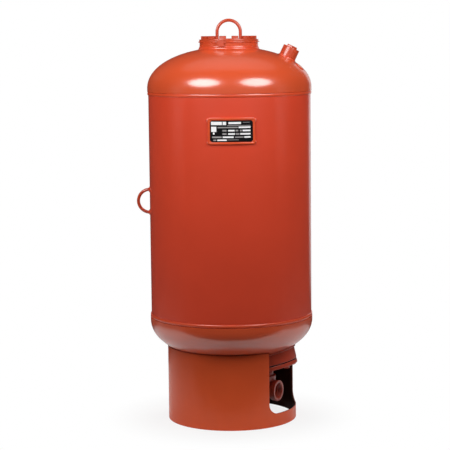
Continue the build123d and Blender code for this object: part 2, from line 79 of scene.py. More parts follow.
Colour = tuple[float, float, float]
Corner = tuple[float, float, float]
Bar = tuple[float, float, float, float]
Part = bmesh.types.BMesh
Vert, Edge, Face = bmesh.types.BMVert, bmesh.types.BMEdge, bmesh.types.BMFace
Socket = bpy.types.NodeSocket


class Slot(Enum):
    """The record's material slots, passed in the calls that make the pieces."""

    PAINT = "paint"
    CAST = "cast_paint"
    PLUG = "plug_paint"
    LABEL = "label"


def compass(azimuth: float) -> Vector:
    """Level direction away from the tank's axis, counted in degrees from the front to the right."""
    return Vector((sin(radians(azimuth)), -cos(radians(azimuth)), 0.0))


def across(azimuth: float) -> Vector:
    """Level direction round the tank at an azimuth, to the right as seen from outside."""
    return Vector((cos(radians(azimuth)), sin(radians(azimuth)), 0.0))


def lift(height: float) -> Matrix:
    """Place straight above the origin."""
    return Matrix.Translation(UP * height)


def stand(origin: Vector, right: Vector, out: Vector) -> Matrix:
    """Place of a local frame, from its origin and the directions of its X and Z axes."""
    turn = Matrix((right, out.cross(right), out)).transposed()
    return Matrix.Translation(origin) @ turn.to_4x4()


def wall(azimuth: float, radius: float, height: float) -> Matrix:
    """Place on an upright wall that faces outwards at an azimuth."""
    return stand(compass(azimuth) * radius + UP * height, across(azimuth), compass(azimuth))


def tube(bore: float, outside: float, foot: float, top: float) -> list[Corner]:
    """Half section of a plain tube between two radii and two heights."""
    return [(outside, foot, 0), (outside, top, 0), (bore, top, 0), (bore, foot, 0)]


def arc(
    before: tuple[float, float], corner: tuple[float, float], after: tuple[float, float],
    size: float,
) -> list[tuple[float, float]]:
    """Rounds the corner of a section.

    Args:
        before: The spot before it.
        corner: The corner.
        after: The spot after it.
        size: How far from the corner the rounding starts and ends.

    Returns:
        Spots along the rounding.
    """
    middle = Vector(corner)
    one = middle + (Vector(before) - middle).normalized() * size
    other = middle + (Vector(after) - middle).normalized() * size
    shares = [step / SECTION_STEPS for step in range(SECTION_STEPS + 1)]
    return [
        tuple(one.lerp(middle, share).lerp(middle.lerp(other, share), share)) for share in shares
    ]


def only(kind: type, items: Iterable[Vert | Edge | Face]) -> list[Vert | Edge | Face]:
    """Those of a mesh's elements that are of one kind."""
    return [item for item in items if isinstance(item, kind)]


def soften(
    part: Part, geom: list[Vert | Edge], offset: float, segments: int, affect: str = "VERTICES"
) -> None:
    """Rounds corners of a part, or its edges where affect is EDGES."""
    bmesh.ops.bevel(
        part, geom=geom, offset=offset, segments=segments, profile=0.5, affect=affect, material=-1
    )


def raise_faces(part: Part, faces: list[Face], move: Vector) -> list[Vert | Edge | Face]:
    """Draws faces out into a solid.

    Args:
        part: The part.
        faces: Its faces.
        move: How far they go.

    Returns:
        The elements at the far end.
    """
    grown = bmesh.ops.extrude_face_region(part, geom=faces)["geom"]
    bmesh.ops.translate(part, verts=only(Vert, grown), vec=move)
    return grown


def blank(width: float, height: float, corner: float = 0.0, steps: int = ROUND_STEPS) -> Part:
    """Cuts a flat blank, centred on the local origin.

    Args:
        width: Size along the local X axis.
        height: Size along the local Y axis.
        corner: Rounding of its corners, or 0.
        steps: Steps of the rounding.

    Returns:
        The blank, with one face.
    """
    part = bmesh.new()
    bmesh.ops.create_grid(part, x_segments=1, y_segments=1, size=0.5)
    bmesh.ops.scale(part, vec=(width, height, 1), verts=part.verts)
    if corner:
        soften(part, part.verts[:], corner, steps)
    return part


class Form:
    """A mesh that is shaped in millimetres before it becomes a piece of the tank."""

    def __init__(self) -> None:
        """Starts with nothing."""
        self.mesh = bmesh.new()

    def take(self, part: Part, place: Matrix = Matrix()) -> "Form":
        """Adds a shaped part and lets go of it.

        Args:
            part: The part, which is freed.
            place: Where it goes.

        Returns:
            The form itself, as from every method that adds to it.
        """
        bmesh.ops.remove_doubles(part, verts=part.verts, dist=0.001)
        bmesh.ops.recalc_face_normals(part, faces=part.faces)
        bmesh.ops.transform(part, matrix=place, verts=part.verts)
        carrier = bpy.data.meshes.new("carrier")
        part.to_mesh(carrier)
        part.free()
        self.mesh.from_mesh(carrier)
        bpy.data.meshes.remove(carrier)
        return self

    def turned(
        self, outline: Sequence[Corner], place: Matrix = Matrix(), steps: int = FINE_STEPS
    ) -> "Form":
        """Turns a half section about the local Z axis.

        Args:
            outline: Corners as (distance from the axis, height, rounding).
            place: Where the turned part goes.
            steps: Steps in the turn.

        Returns:
            The form itself.
        """
        part = bmesh.new()
        corners = [part.verts.new((radius, 0.0, height)) for radius, height, _ in outline]
        for one, other in zip(corners, corners[1:]):
            part.edges.new((one, other))
        if outline[0][0] > 0 or outline[-1][0] > 0:
            part.edges.new((corners[-1], corners[0]))
        for corner, (_, _, rounding) in zip(corners, outline):
            if rounding:
                soften(part, [corner], rounding, SECTION_STEPS)
        bmesh.ops.spin(
            part, geom=part.verts[:] + part.edges[:], axis=UP, angle=FULL_TURN, steps=steps,
            use_merge=True,
        )
        return self.take(part, place)

    def prism(
        self, sides: int, radius: float, height: float, place: Matrix = Matrix(), edge: float = 0.0
    ) -> "Form":
        """Adds an upright prism.

        Args:
            sides: Number of sides.
            radius: Distance of the flats from the axis.
            height: Height above the local origin.
            place: Where it goes.
            edge: Rounding of the upper edges.

        Returns:
            The form itself.
        """
        part = bmesh.new()
        bmesh.ops.create_circle(
            part, cap_ends=True, segments=sides, radius=radius / cos(pi / sides)
        )
        bmesh.ops.rotate(part, verts=part.verts, matrix=Matrix.Rotation(pi / sides, 3, "Z"))
        grown = raise_faces(part, part.faces[:], UP * height)
        if edge:
            soften(part, only(Edge, grown), edge, EDGE_STEPS, "EDGES")
        return self.take(part, place)

    def slab(
        self, width: float, height: float, depth: float, corner: float, place: Matrix = Matrix(),
        steps: int = ROUND_STEPS,
    ) -> "Form":
        """Adds a slab, centred on the local origin and rising along Z.

        Args:
            width: Size along the local X axis.
            height: Size along the local Y axis.
            depth: Size along the local Z axis.
            corner: Rounding of the upright edges.
            place: Where it goes.
            steps: Steps of the rounding.

        Returns:
            The form itself.
        """
        part = blank(width, height, corner, steps)
        raise_faces(part, part.faces[:], UP * depth)
        return self.take(part, place)

    def rod(self, radius: float, bend: float, leg: float, place: Matrix) -> "Form":
        """Adds a rod bent into a U: a leg along Z, a half turn, and a leg back.

        Args:
            radius: Radius of the rod.
            bend: Radius of its centre line's bend.
            leg: Length of each leg.
            place: Where it goes. The legs stand at X = bend and X = -bend.

        Returns:
            The form itself.
        """
        part = bmesh.new()
        bmesh.ops.create_circle(part, segments=ROD_STEPS, radius=radius)
        bmesh.ops.translate(part, verts=part.verts, vec=(bend, 0, 0))
        run = part.edges[:]
        for way in (1, 0, -1):
            if way:
                swept = bmesh.ops.extrude_edge_only(part, edges=run)["geom"]
                bmesh.ops.translate(part, verts=only(Vert, swept), vec=UP * leg * way)
            else:
                swept = bmesh.ops.spin(
                    part, geom=run, cent=UP * leg, axis=(0, -1, 0), angle=pi, steps=BEND_STEPS
                )["geom_last"]
            run = [edge for edge in only(Edge, swept) if len(edge.link_faces) < 2]
        bmesh.ops.holes_fill(part, edges=part.edges[:], sides=0)
        return self.take(part, place)

    def blob(self, size: Vector, place: Matrix, seed: int) -> "Form":
        """Adds a lump of weld.

        Args:
            size: Half sizes along the local axes.
            place: Where it goes.
            seed: Which lump it is, so that no two are alike.

        Returns:
            The form itself.
        """
        part = bmesh.new()
        bmesh.ops.create_icosphere(part, subdivisions=4, radius=1)
        for vert in part.verts:
            lump = noise.noise(vert.co * LUMPS + Vector((seed * LUMP_SHIFT, 0, 0)))
            vert.co *= 1 + LUMP_DEPTH * lump
        bmesh.ops.scale(part, vec=size, verts=part.verts)
        return self.take(part, place)

    def bead(
        self, radius: float, height: float, width: float, proud: float, place: Matrix = Matrix(),
        sweep: float = FULL_TURN, start: float = 0.0, lean: float = 0.0, pitch: float = 4.5,
        ripple: float = 1.0, dip: Callable[[Vector], float] | None = None,
    ) -> "Form":
        """Adds a weld bead round the local Z axis, with the ripples that the torch leaves.

        Args:
            radius: Distance of the bead's middle from the axis.
            height: Its height.
            width: Its width.
            proud: How far it stands out.
            place: Where it goes.
            sweep: How far it goes round, in radians.
            start: Where it starts, in radians.
            lean: Turn of its section, in degrees, from facing outwards to facing up.
            pitch: Distance from ripple to ripple.
            ripple: Strength of the ripples.
            dip: Gives how far the plate under the bead falls away at a place.

        Returns:
            The form itself.
        """
        part = bmesh.new()
        bmesh.ops.create_circle(part, segments=BEAD_STEPS, radius=1)
        bmesh.ops.rotate(part, verts=part.verts, matrix=Matrix.Rotation(pi / 2, 3, "X"))
        bmesh.ops.scale(part, vec=(proud, 1, width / 2), verts=part.verts)
        bmesh.ops.rotate(part, verts=part.verts, matrix=Matrix.Rotation(-radians(lean), 3, "Y"))
        bmesh.ops.translate(part, verts=part.verts, vec=(radius, 0, height))
        bmesh.ops.rotate(part, verts=part.verts, matrix=Matrix.Rotation(start, 3, "Z"))
        ripples = round(radius * sweep / pitch)
        whole = sweep == FULL_TURN
        section = part.edges[:]
        if not whole:
            section = bmesh.ops.contextual_create(part, geom=section)["faces"]
        bmesh.ops.spin(
            part, geom=section, axis=UP, angle=sweep, steps=RIPPLE_STEPS * ripples,
            use_merge=whole,
        )
        for vert in part.verts:
            turn = atan2(vert.co.y, vert.co.x)
            middle = Vector((radius * cos(turn), radius * sin(turn), height))
            wave = RIPPLE_DEPTH * sin(turn * ripples * FULL_TURN / sweep)
            wave += WOBBLE_DEPTH * noise.noise(vert.co / WOBBLE_SIZE)
            vert.co = middle + (vert.co - middle) * (1 + ripple * wave)
            if dip:
                vert.co.z += dip(middle)
        return self.take(part, place)

    def cut(self, tool: "Form", operation: str = "DIFFERENCE") -> "Form":
        """Cuts another form out of this one, or joins it on.

        Args:
            tool: The other form, which is used up.
            operation: DIFFERENCE or UNION.

        Returns:
            The form itself.
        """
        body, cutter = self.object("body"), tool.object("cutter")
        change = body.modifiers.new("cut", "BOOLEAN")
        change.operation = operation
        change.solver = "EXACT"
        change.object = cutter
        graph = bpy.context.evaluated_depsgraph_get()
        result = bpy.data.meshes.new_from_object(body.evaluated_get(graph))
        self.mesh = bmesh.new()
        self.mesh.from_mesh(result)
        spare = [result, body.data, cutter.data]
        for spent in (body, cutter):
            bpy.data.objects.remove(spent)
        for mesh in spare:
            bpy.data.meshes.remove(mesh)
        return self

    def wrap(self, radius: float, place: Matrix) -> "Form":
        """Rolls a flat form, whose Z axis points outwards, onto an upright cylinder.

        Args:
            radius: Radius that the form's Z = 0 lies on.
            place: Place on the wall, with its origin on the tank's axis.

        Returns:
            The form itself.
        """
        reach = max(abs(vert.co.x) for vert in self.mesh.verts)
        cuts = int(reach / STRIP)
        for cut in range(-cuts, cuts + 1):
            geom = self.mesh.verts[:] + self.mesh.edges[:] + self.mesh.faces[:]
            bmesh.ops.bisect_plane(
                self.mesh, geom=geom, dist=0.001, plane_co=(cut * STRIP, 0, 0), plane_no=(1, 0, 0)
            )
        for vert in self.mesh.verts:
            turn, out = vert.co.x / radius, radius + vert.co.z
            vert.co = Vector((out * sin(turn), vert.co.y, out * cos(turn)))
        bmesh.ops.transform(self.mesh, matrix=place, verts=self.mesh.verts)
        return self

    def object(self, name: str) -> bpy.types.Object:
        """Turns the form into an object in the scene, as it stands, and lets go of the form.

        Args:
            name: Name of the object and of its mesh.

        Returns:
            The object.
        """
        mesh = bpy.data.meshes.new(name)
        self.mesh.to_mesh(mesh)
        self.mesh.free()
        thing = bpy.data.objects.new(name, mesh)
        bpy.context.scene.collection.objects.link(thing)
        return thing

    def piece(
        self, name: str, finish: "Finish", replaces: Sequence[str] = (), slot: Slot = Slot.PAINT,
        edge: float = 0.0, crease: float = 35.0,
    ) -> None:
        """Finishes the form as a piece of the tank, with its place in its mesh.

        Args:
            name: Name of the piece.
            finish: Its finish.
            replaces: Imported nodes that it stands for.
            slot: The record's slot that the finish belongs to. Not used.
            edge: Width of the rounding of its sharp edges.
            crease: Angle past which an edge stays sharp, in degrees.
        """
        bmesh.ops.scale(self.mesh, vec=(MM, MM, MM), verts=self.mesh.verts)
        thing = self.object(name)
        thing.data.shade_smooth()
        thing.data.set_sharp_from_angle(angle=radians(crease))
        if edge:
            ease = thing.modifiers.new("eased edges", "BEVEL")
            ease.width = edge * MM
            ease.segments = 2
            ease.limit_method = "ANGLE"
            ease.angle_limit = radians(crease)
            ease.harden_normals = True
        thing.data.materials.append(finish.material())
        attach(thing, "root")
        if replaces:
            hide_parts(*replaces)
        log.info("%s: %d faces", name, len(thing.data.polygons))


class Nodes:
    """Shader nodes of one material or world, each added and wired in one call."""

    def __init__(self, owner: bpy.types.Material | bpy.types.World) -> None:
        """Takes hold of the owner's nodes."""
        owner.use_nodes = True
        self.tree = owner.node_tree

    def feed(self, node: bpy.types.Node, inputs: dict[str | int, object]) -> None:
        """Fills inputs of a node.

        Args:
            node: The node.
            inputs: What goes into which input. A socket is wired and a value is set.
        """
        for name, value in inputs.items():
            if isinstance(value, Socket):
                self.tree.links.new(value, node.inputs[name])
            else:
                node.inputs[name].default_value = value

    def add(
        self, kind: str, output: str, inputs: dict[str | int, object] | None = None, **settings: str
    ) -> Socket:
        """Adds a node.

        Args:
            kind: Its type.
            output: Name of the output that is used.
            inputs: What goes into its inputs.
            settings: Its own settings.

        Returns:
            The output that is used.
        """
        node = self.tree.nodes.new(kind)
        for setting, value in settings.items():
            setattr(node, setting, value)
        self.feed(node, inputs or {})
        return node.outputs[output]

    def show(self, end: str, share: Socket, plain: Socket, seen: Socket) -> None:
        """Ends the nodes, in the end node, with a blend of two shaders by a share of the second."""
        blend = self.add("ShaderNodeMixShader", "Shader", {"Fac": share, 1: plain, 2: seen})
        self.feed(self.tree.nodes[end], {"Surface": blend})


@dataclass(frozen=True)
class Finish:
    """A surface finish made of shader nodes that read the piece's own coordinates.

    Attributes:
        name: What the finish is called.
        colour: Its colour, linear.
        shade: How much darker or lighter its patches are, from 0 to 1.
        patch: Size of the patches, in metres.
        roughness: Middle of its roughness.
        spread: How far its roughness varies to either side.
        grain: Size of its relief, in metres.
        relief: Height of its relief, in metres.
        metallic: 1 for bare metal.
        coat: Weight of a clear gloss over it.
        coat_roughness: Roughness of that gloss.
        coat_ior: Strength of that gloss, as a refractive index.
        specular: Level of its own gloss.
        inside: Distance from the tank's axis, in millimetres, within which the colour turns to
            painted shade. 0 for none.
        inner_shade_colour: Colour of that painted shade.
        eaves: Height, in millimetres, of an overhang that the colour gets darker towards, as
            painted shade. 0 for none.
        painted_shade_and_bounce: Share of the colour at the floor and at that overhang: above 1
            paints bounce light from the floor, below 1 paints shade under the overhang.
    """

    name: str
    colour: Colour
    shade: float = 0.06
    patch: float = 0.12
    roughness: float = 0.45
    spread: float = 0.04
    grain: float = 0.0025
    relief: float = 0.00002
    metallic: float = 0.0
    coat: float = 0.0
    coat_roughness: float = 0.1
    coat_ior: float = 1.5
    specular: float = 0.5
    inside: float = 0.0
    inner_shade_colour: Colour = (0.075, 0.022, 0.016)
    eaves: float = 0.0
    painted_shade_and_bounce: tuple[float, float] = (1.13, 0.80)

    def material(self) -> bpy.types.Material:
        """Makes the finish's material once and shares it after that.

        Returns:
            The material.
        """
        made = bpy.data.materials.get(self.name)
        if made:
            return made
        made = bpy.data.materials.new(self.name)
        made.diffuse_color = (*self.colour, 1.0)
        nodes = Nodes(made)
        place = nodes.add("ShaderNodeTexCoord", "Object")
        patches = nodes.add(
            "ShaderNodeTexNoise", "Fac", {"Vector": place, "Scale": 1 / self.patch, "Detail": 4.0}
        )
        dark, light = (
            (*(min(1.0, share * (1 + way * self.shade)) for share in self.colour), 1.0)
            for way in (-1, 1)
        )
        colour = nodes.add(
            "ShaderNodeMix", "Result", {"Factor": patches, "A": dark, "B": light}, data_type="RGBA"
        )
        # Painted shade under the head's overhang and painted bounce light near the floor.
        if self.eaves:
            colour = self.paint_overhang_shade(nodes, place, colour)
        # Painted shade inside the skirt and in its groove under the head.
        if self.inside:
            colour = self.paint_inner_shade(nodes, place, colour)
        polish = nodes.add("ShaderNodeMapRange", "Result", {
            "Value": patches,
            "To Min": self.roughness - self.spread,
            "To Max": self.roughness + self.spread,
        })
        peel = nodes.add(
            "ShaderNodeTexNoise", "Fac", {"Vector": place, "Scale": 1 / self.grain, "Detail": 2.0}
        )
        relief = nodes.add(
            "ShaderNodeBump", "Normal", {"Strength": 1.0, "Distance": self.relief, "Height": peel}
        )
        nodes.feed(made.node_tree.nodes["Principled BSDF"], {
            "Base Color": colour,
            "Metallic": self.metallic,
            "Roughness": polish,
            "Specular IOR Level": self.specular,
            "Coat Weight": self.coat,
            "Coat Roughness": self.coat_roughness,
            "Coat IOR": self.coat_ior,
            "Normal": relief,
            "Coat Normal": relief,
        })
        return made

    def paint_overhang_shade(self, nodes: Nodes, place: Socket, colour: Socket) -> Socket:
        """Paints shade towards an overhang and bounce light towards the floor, by scaling the
        colour.

        Args:
            nodes: The material's nodes.
            place: Gives the piece's own coordinates.
            colour: Gives the paint's colour.

        Returns:
            The darkened colour.
        """
        at_floor, at_eaves = self.painted_shade_and_bounce
        share = nodes.add("ShaderNodeMapRange", "Result", {
            "Value": nodes.add("ShaderNodeSeparateXYZ", "Z", {"Vector": place}),
            "From Max": self.eaves * MM,
            "To Min": at_floor,
            "To Max": at_eaves,
        })
        return nodes.add(
            "ShaderNodeVectorMath", "Vector", {0: colour, "Scale": share}, operation="SCALE"
        )

    def paint_inner_shade(self, nodes: Nodes, place: Socket, colour: Socket) -> Socket:
        """Paints shade in the skirt and its groove, darkening the colour towards the tank's axis.

        Args:
            nodes: The material's nodes.
            place: Gives the piece's own coordinates.
            colour: Gives the paint's colour.

        Returns:
            The darkened colour.
        """
        level = nodes.add(
            "ShaderNodeVectorMath", "Vector", {0: place, 1: (1.0, 1.0, 0.0)}, operation="MULTIPLY"
        )
        reach = nodes.add("ShaderNodeMapRange", "Result", {
            "Value": nodes.add("ShaderNodeVectorMath", "Value", {0: level}, operation="LENGTH"),
            "From Min": self.inside * MM,
            "From Max": (self.inside + 1.0) * MM,
        })
        return nodes.add("ShaderNodeMix", "Result", {
            "Factor": reach, "A": (*self.inner_shade_colour, 1.0), "B": colour,
        }, data_type="RGBA")


RED_PAINT = Finish(
    "red enamel", (0.70, 0.057, 0.0190), coat=1.0, coat_roughness=0.21, coat_ior=2.1, specular=0.2
)
# The shell's enamel with a more orange tone, its red lowered as painted shade on the domes and the
# neck.
SHADED_HEAD_PAINT = replace(RED_PAINT, name="red enamel on heads with painted shade", colour=(0.65, 0.077, 0.0190))
# Skirt enamel in its own more orange-brown tone, with painted shade under the head and inside the
# skirt, and painted bounce light towards the floor.
SKIRT_PAINT = Finish(
    "red enamel on skirt", (0.68, 0.086, 0.0210), roughness=0.5, coat=0.7, coat_roughness=0.24,
    coat_ior=1.45, specular=0.1, inside=242.9, eaves=230.0,
)
# Red enamel darkened as painted shade on the top fittings, the ring stop and the side ring.
SHADED_RING_PAINT = replace(
    RED_PAINT, name="red enamel darkened as painted shade", colour=(0.53, 0.060, 0.0170), coat_roughness=0.24,
    coat_ior=1.75,
)
# Red enamel darkened as painted shade on what lies under the bottom head: the mouth, its bolts, the
# pipe and the skirt's weld.
SHADED_UNDER_PAINT = Finish(
    "red enamel under the tank with painted shade", (0.40, 0.040, 0.0150), roughness=0.5, coat=0.8, coat_roughness=0.3,
    specular=0.2, shade=0.12,
)
TRIM_PAINT = replace(
    RED_PAINT, name="red enamel on trim", colour=(0.68, 0.072, 0.016), coat_roughness=0.26,
    coat_ior=1.6,
)
WELD_PAINT = replace(
    RED_PAINT, name="red enamel on weld", colour=(0.68, 0.066, 0.016), coat_roughness=0.28,
    coat_ior=1.8, grain=0.004, relief=0.00006,
)
# Enamel on the cast elbow, darkened as painted shade inside the skirt; its rough relief is the
# casting's own.
SHADED_CAST_PAINT = Finish(
    "red enamel on casting with painted shade", (0.36, 0.036, 0.015), roughness=0.5, coat=0.8, coat_roughness=0.25,
    grain=0.0018, relief=0.00025,
)
PLUG_PAINT = Finish(
    "thin paint on plug", (0.76, 0.32, 0.22), coat=0.4, coat_roughness=0.3, patch=0.01, shade=0.2,
    grain=0.001, relief=0.0001,
)
RUBBER = Finish(
    "black rubber", (0.012, 0.012, 0.013), roughness=0.8, grain=0.0012, relief=0.00006, patch=0.03,
    specular=0.15,
)
STEEL = Finish(
    "zinc plated steel", (0.56, 0.55, 0.52), roughness=0.34, metallic=1.0, grain=0.0009,
    relief=0.00003, patch=0.02,
)
BRASS = Finish(
    "turned brass", (0.72, 0.49, 0.2), roughness=0.3, metallic=1.0, grain=0.0006, patch=0.01,
)
PLASTIC = Finish(
    "moulded cap", (0.02, 0.02, 0.022), roughness=0.4, grain=0.0007, relief=0.00003, patch=0.01,
)
LABEL_BLACK = Finish(
    "black plate", (0.005, 0.0045, 0.0055), roughness=0.5, grain=0.0015, patch=0.05, shade=0.15,
    specular=0.1,
)
PRINT_WHITE = Finish(
    "white print", (0.86, 0.85, 0.86), roughness=0.5, grain=0.0006, relief=0.00001, patch=0.01,
)
PRINT_GREY = replace(PRINT_WHITE, name="grey print", colour=(0.3, 0.28, 0.28))


@dataclass
class Vessel:
    """Shell and two dished heads, with the weld seams at the ends of the heads' lips.

    Attributes:
        radius: Outside of the shell.
        wall: Thickness of the shell and of the heads.
        head_radius: Outside of the heads' lips.
        head_depth: Depth of a head.
        lip: Length of a head's straight lip, up to its weld.
        seam: Distance from a tangent line to the middle of its seam's weld.
        seam_width: Width of that weld.
        seam_proud: How far it stands out.
        seam_ripple: Strength of its ripples.
        lower_z: Height of the lower tangent line.
        upper_z: Height of the upper tangent line.
        end_gap: Distance of the shell's ends from the tangent lines.
        fullness: Power of the heads' curve. 2 would give half an ellipsoid.
        rows: Bands of a whole ball, of which a head is half.
        top_holes: Holes in the top head, as (azimuth, distance from the axis, radius).
        bottom_holes: The hole in the bottom head.
        drill: Length of the tools that pierce the heads.
        search: Lowest and highest place that a head is looked for at, under a fitting.
        search_steps: How often that span is halved.
    """

    radius: float = 304.8
    wall: float = 3.4
    head_radius: float = 308.35
    head_depth: float = 152.4
    lip: float = 12.4
    seam: float = 19.0
    seam_width: float = 12.6
    seam_proud: float = 3.2
    seam_ripple: float = 0.3
    lower_z: float = 383.0
    upper_z: float = 1259.0
    end_gap: float = 1.0
    fullness: float = 2.08
    rows: int = 96
    top_holes: tuple[Corner, ...] = ((0.0, 0.0, 109.65), (90.0, 218.0, 31.85), (76.0, 270.0, 15.6))
    bottom_holes: tuple[Corner, ...] = ((70.0, 135.0, 76.2),)
    drill: float = 80.0
    search: tuple[float, float] = (-60.0, 10.0)
    search_steps: int = 16

    def drop(self, radius: float) -> float:
        """How far a head's outside stands beyond its tangent line at a distance from the axis."""
        out_share = (radius / self.head_radius) ** self.fullness
        return self.head_depth * (1 - out_share) ** (1 / self.fullness)

    def seat(self, azimuth: float, radius: float, upper: bool = True) -> Matrix:
        """Place on a head's outside.

        Args:
            azimuth: Azimuth of the place.
            radius: Its distance from the axis.
            upper: True for the top head.

        Returns:
            The place, with its Z axis square to the head and pointing out.
        """
        out_share = (radius / self.head_radius) ** (self.fullness - 1)
        up_share = (self.drop(radius) / self.head_depth) ** (self.fullness - 1)
        way, tangent_z = (1, self.upper_z) if upper else (-1, self.lower_z)
        tilt = atan(self.head_depth * out_share / (self.head_radius * up_share))
        origin = compass(azimuth) * radius + UP * (tangent_z + way * self.drop(radius))
        return stand(origin, across(azimuth), compass(azimuth) * sin(tilt) + UP * way * cos(tilt))

    def dip(self, place: Matrix, upper: bool = True) -> Callable[[Vector], float]:
        """Measures how a head curves away from a fitting's own plane.

        Args:
            place: Where the fitting stands.
            upper: True for the top head.

        Returns:
            A function from a spot in the plane to the head's height above it there.
        """
        way, tangent_z = (1, self.upper_z) if upper else (-1, self.lower_z)

        def height(spot: Vector) -> float:
            """Closes in on the height at which the head's outside is met.

            Args:
                spot: A spot in the fitting's plane.

            Returns:
                The height above that plane.
            """
            below, above = self.search
            for _ in range(self.search_steps):
                middle = (below + above) / 2
                point = place @ Vector((spot.x, spot.y, middle))
                out = point.xy.length
                if out < self.head_radius and way * (point.z - tangent_z) < self.drop(out):
                    below = middle
                else:
                    above = middle
            return below

        return height

    def head(self, upper: bool) -> Form:
        """Presses a head in sheet: a dome a little fuller than half an ellipsoid, with a lip.

        Args:
            upper: True for the top head.

        Returns:
            The head, not yet pierced.
        """
        part = bmesh.new()
        bmesh.ops.create_uvsphere(part, u_segments=FINE_STEPS, v_segments=self.rows, radius=1.0)
        geom = part.verts[:] + part.edges[:] + part.faces[:]
        bmesh.ops.bisect_plane(
            part, geom=geom, dist=0.0001, plane_co=(0, 0, 0), plane_no=(0, 0, -1), clear_outer=True
        )
        swell = 2 / self.fullness
        for vert in part.verts:
            out = vert.co.xy.length
            vert.co.xy *= out ** (swell - 1) if out > 0 else 1.0
            vert.co.z = max(vert.co.z, 0.0) ** swell
        size = Vector((self.head_radius, self.head_radius, self.head_depth))
        bmesh.ops.scale(part, vec=size, verts=part.verts)
        rim = [edge for edge in part.edges if edge.is_boundary]
        grown = bmesh.ops.extrude_edge_only(part, edges=rim)["geom"]
        bmesh.ops.translate(part, verts=only(Vert, grown), vec=-UP * self.lip)
        bmesh.ops.recalc_face_normals(part, faces=part.faces)
        bmesh.ops.solidify(part, geom=part.faces[:], thickness=self.wall)
        if upper:
            form = Form().take(part, lift(self.upper_z))
        else:
            form = Form().take(part, lift(self.lower_z) @ Matrix.Scale(-1, 4, UP))
        bmesh.ops.recalc_face_normals(form.mesh, faces=form.mesh.faces)
        return form

    def build(self) -> None:
        """Builds and dresses the shell, the heads and their seams."""
        foot, top = self.lower_z + self.end_gap, self.upper_z - self.end_gap
        shell = Form().turned(tube(self.radius - self.wall, self.radius, foot, top))
        shell.piece("shell_plate", RED_PAINT, ["shell"])
        for upper, name, holes in (
            (True, "top_head", self.top_holes), (False, "bottom_head", self.bottom_holes),
        ):
            drills = Form()
            for azimuth, radius, hole in holes:
                place = self.seat(azimuth, radius, upper) @ lift(-self.drill / 2)
                drills.prism(COARSE_STEPS, hole, self.drill, place)
            head = self.head(upper).cut(drills)
            head.piece(f"dished_{name}", SHADED_HEAD_PAINT, [name], crease=50.0)
        for name, height in (
            ("seam_weld_lower", self.lower_z + self.seam),
            ("seam_weld_upper", self.upper_z - self.seam),
        ):
            seam = Form().bead(
                self.radius, height, self.seam_width, self.seam_proud, ripple=self.seam_ripple
            )
            seam.piece(name, WELD_PAINT)


@dataclass
class Skirt:
    """Rolled skirt with its access window, welded to the bottom head.

    Attributes:
        prep: Height that the outer edge loses to the weld's groove.
        weld_in: Distance from the skirt's inside to the middle of its weld.
        weld_down: Distance of that middle below the head.
        weld_lean: Turn of the weld's section, in degrees, from facing outwards.
        window_sill: Height of the window's lower edge.
    """

    vessel: Vessel
    radius: float = 244.15
    wall: float = 4.8
    prep: float = 4.6
    weld_width: float = 8.0
    weld_proud: float = 3.6
    weld_in: float = 0.4
    weld_down: float = 1.0
    weld_lean: float = 140.0
    window_azimuth: float = 70.0
    window_width: float = 284.0
    window_sill: float = 48.0
    window_corner: float = 38.0

    def build(self) -> None:
        """Builds and dresses the skirt and its weld."""
        inner = self.radius - self.wall
        top = self.vessel.lower_z - self.vessel.drop(self.radius)
        inner_top = self.vessel.lower_z - self.vessel.drop(inner)
        skirt = Form().turned([
            (self.radius, 0, 0), (self.radius, top - self.prep, 0.5), (inner, inner_top, 0),
            (inner, 0, 0),
        ])
        tall = self.vessel.lower_z
        window = Form().slab(
            self.window_width, tall, 2 * self.radius, self.window_corner,
            wall(self.window_azimuth, 0, self.window_sill + tall / 2),
        )
        skirt.cut(window).piece("skirt_plate", SKIRT_PAINT, ["skirt"], edge=0.6)
        half = degrees(asin(self.window_width / 2 / self.radius))
        weld = Form().bead(
            inner - self.weld_in, inner_top - self.weld_down, self.weld_width, self.weld_proud,
            lean=self.weld_lean, start=radians(self.window_azimuth + half - 90),
            sweep=radians(360 - 2 * half),
        )
        weld.piece("skirt_weld", SHADED_UNDER_PAINT)


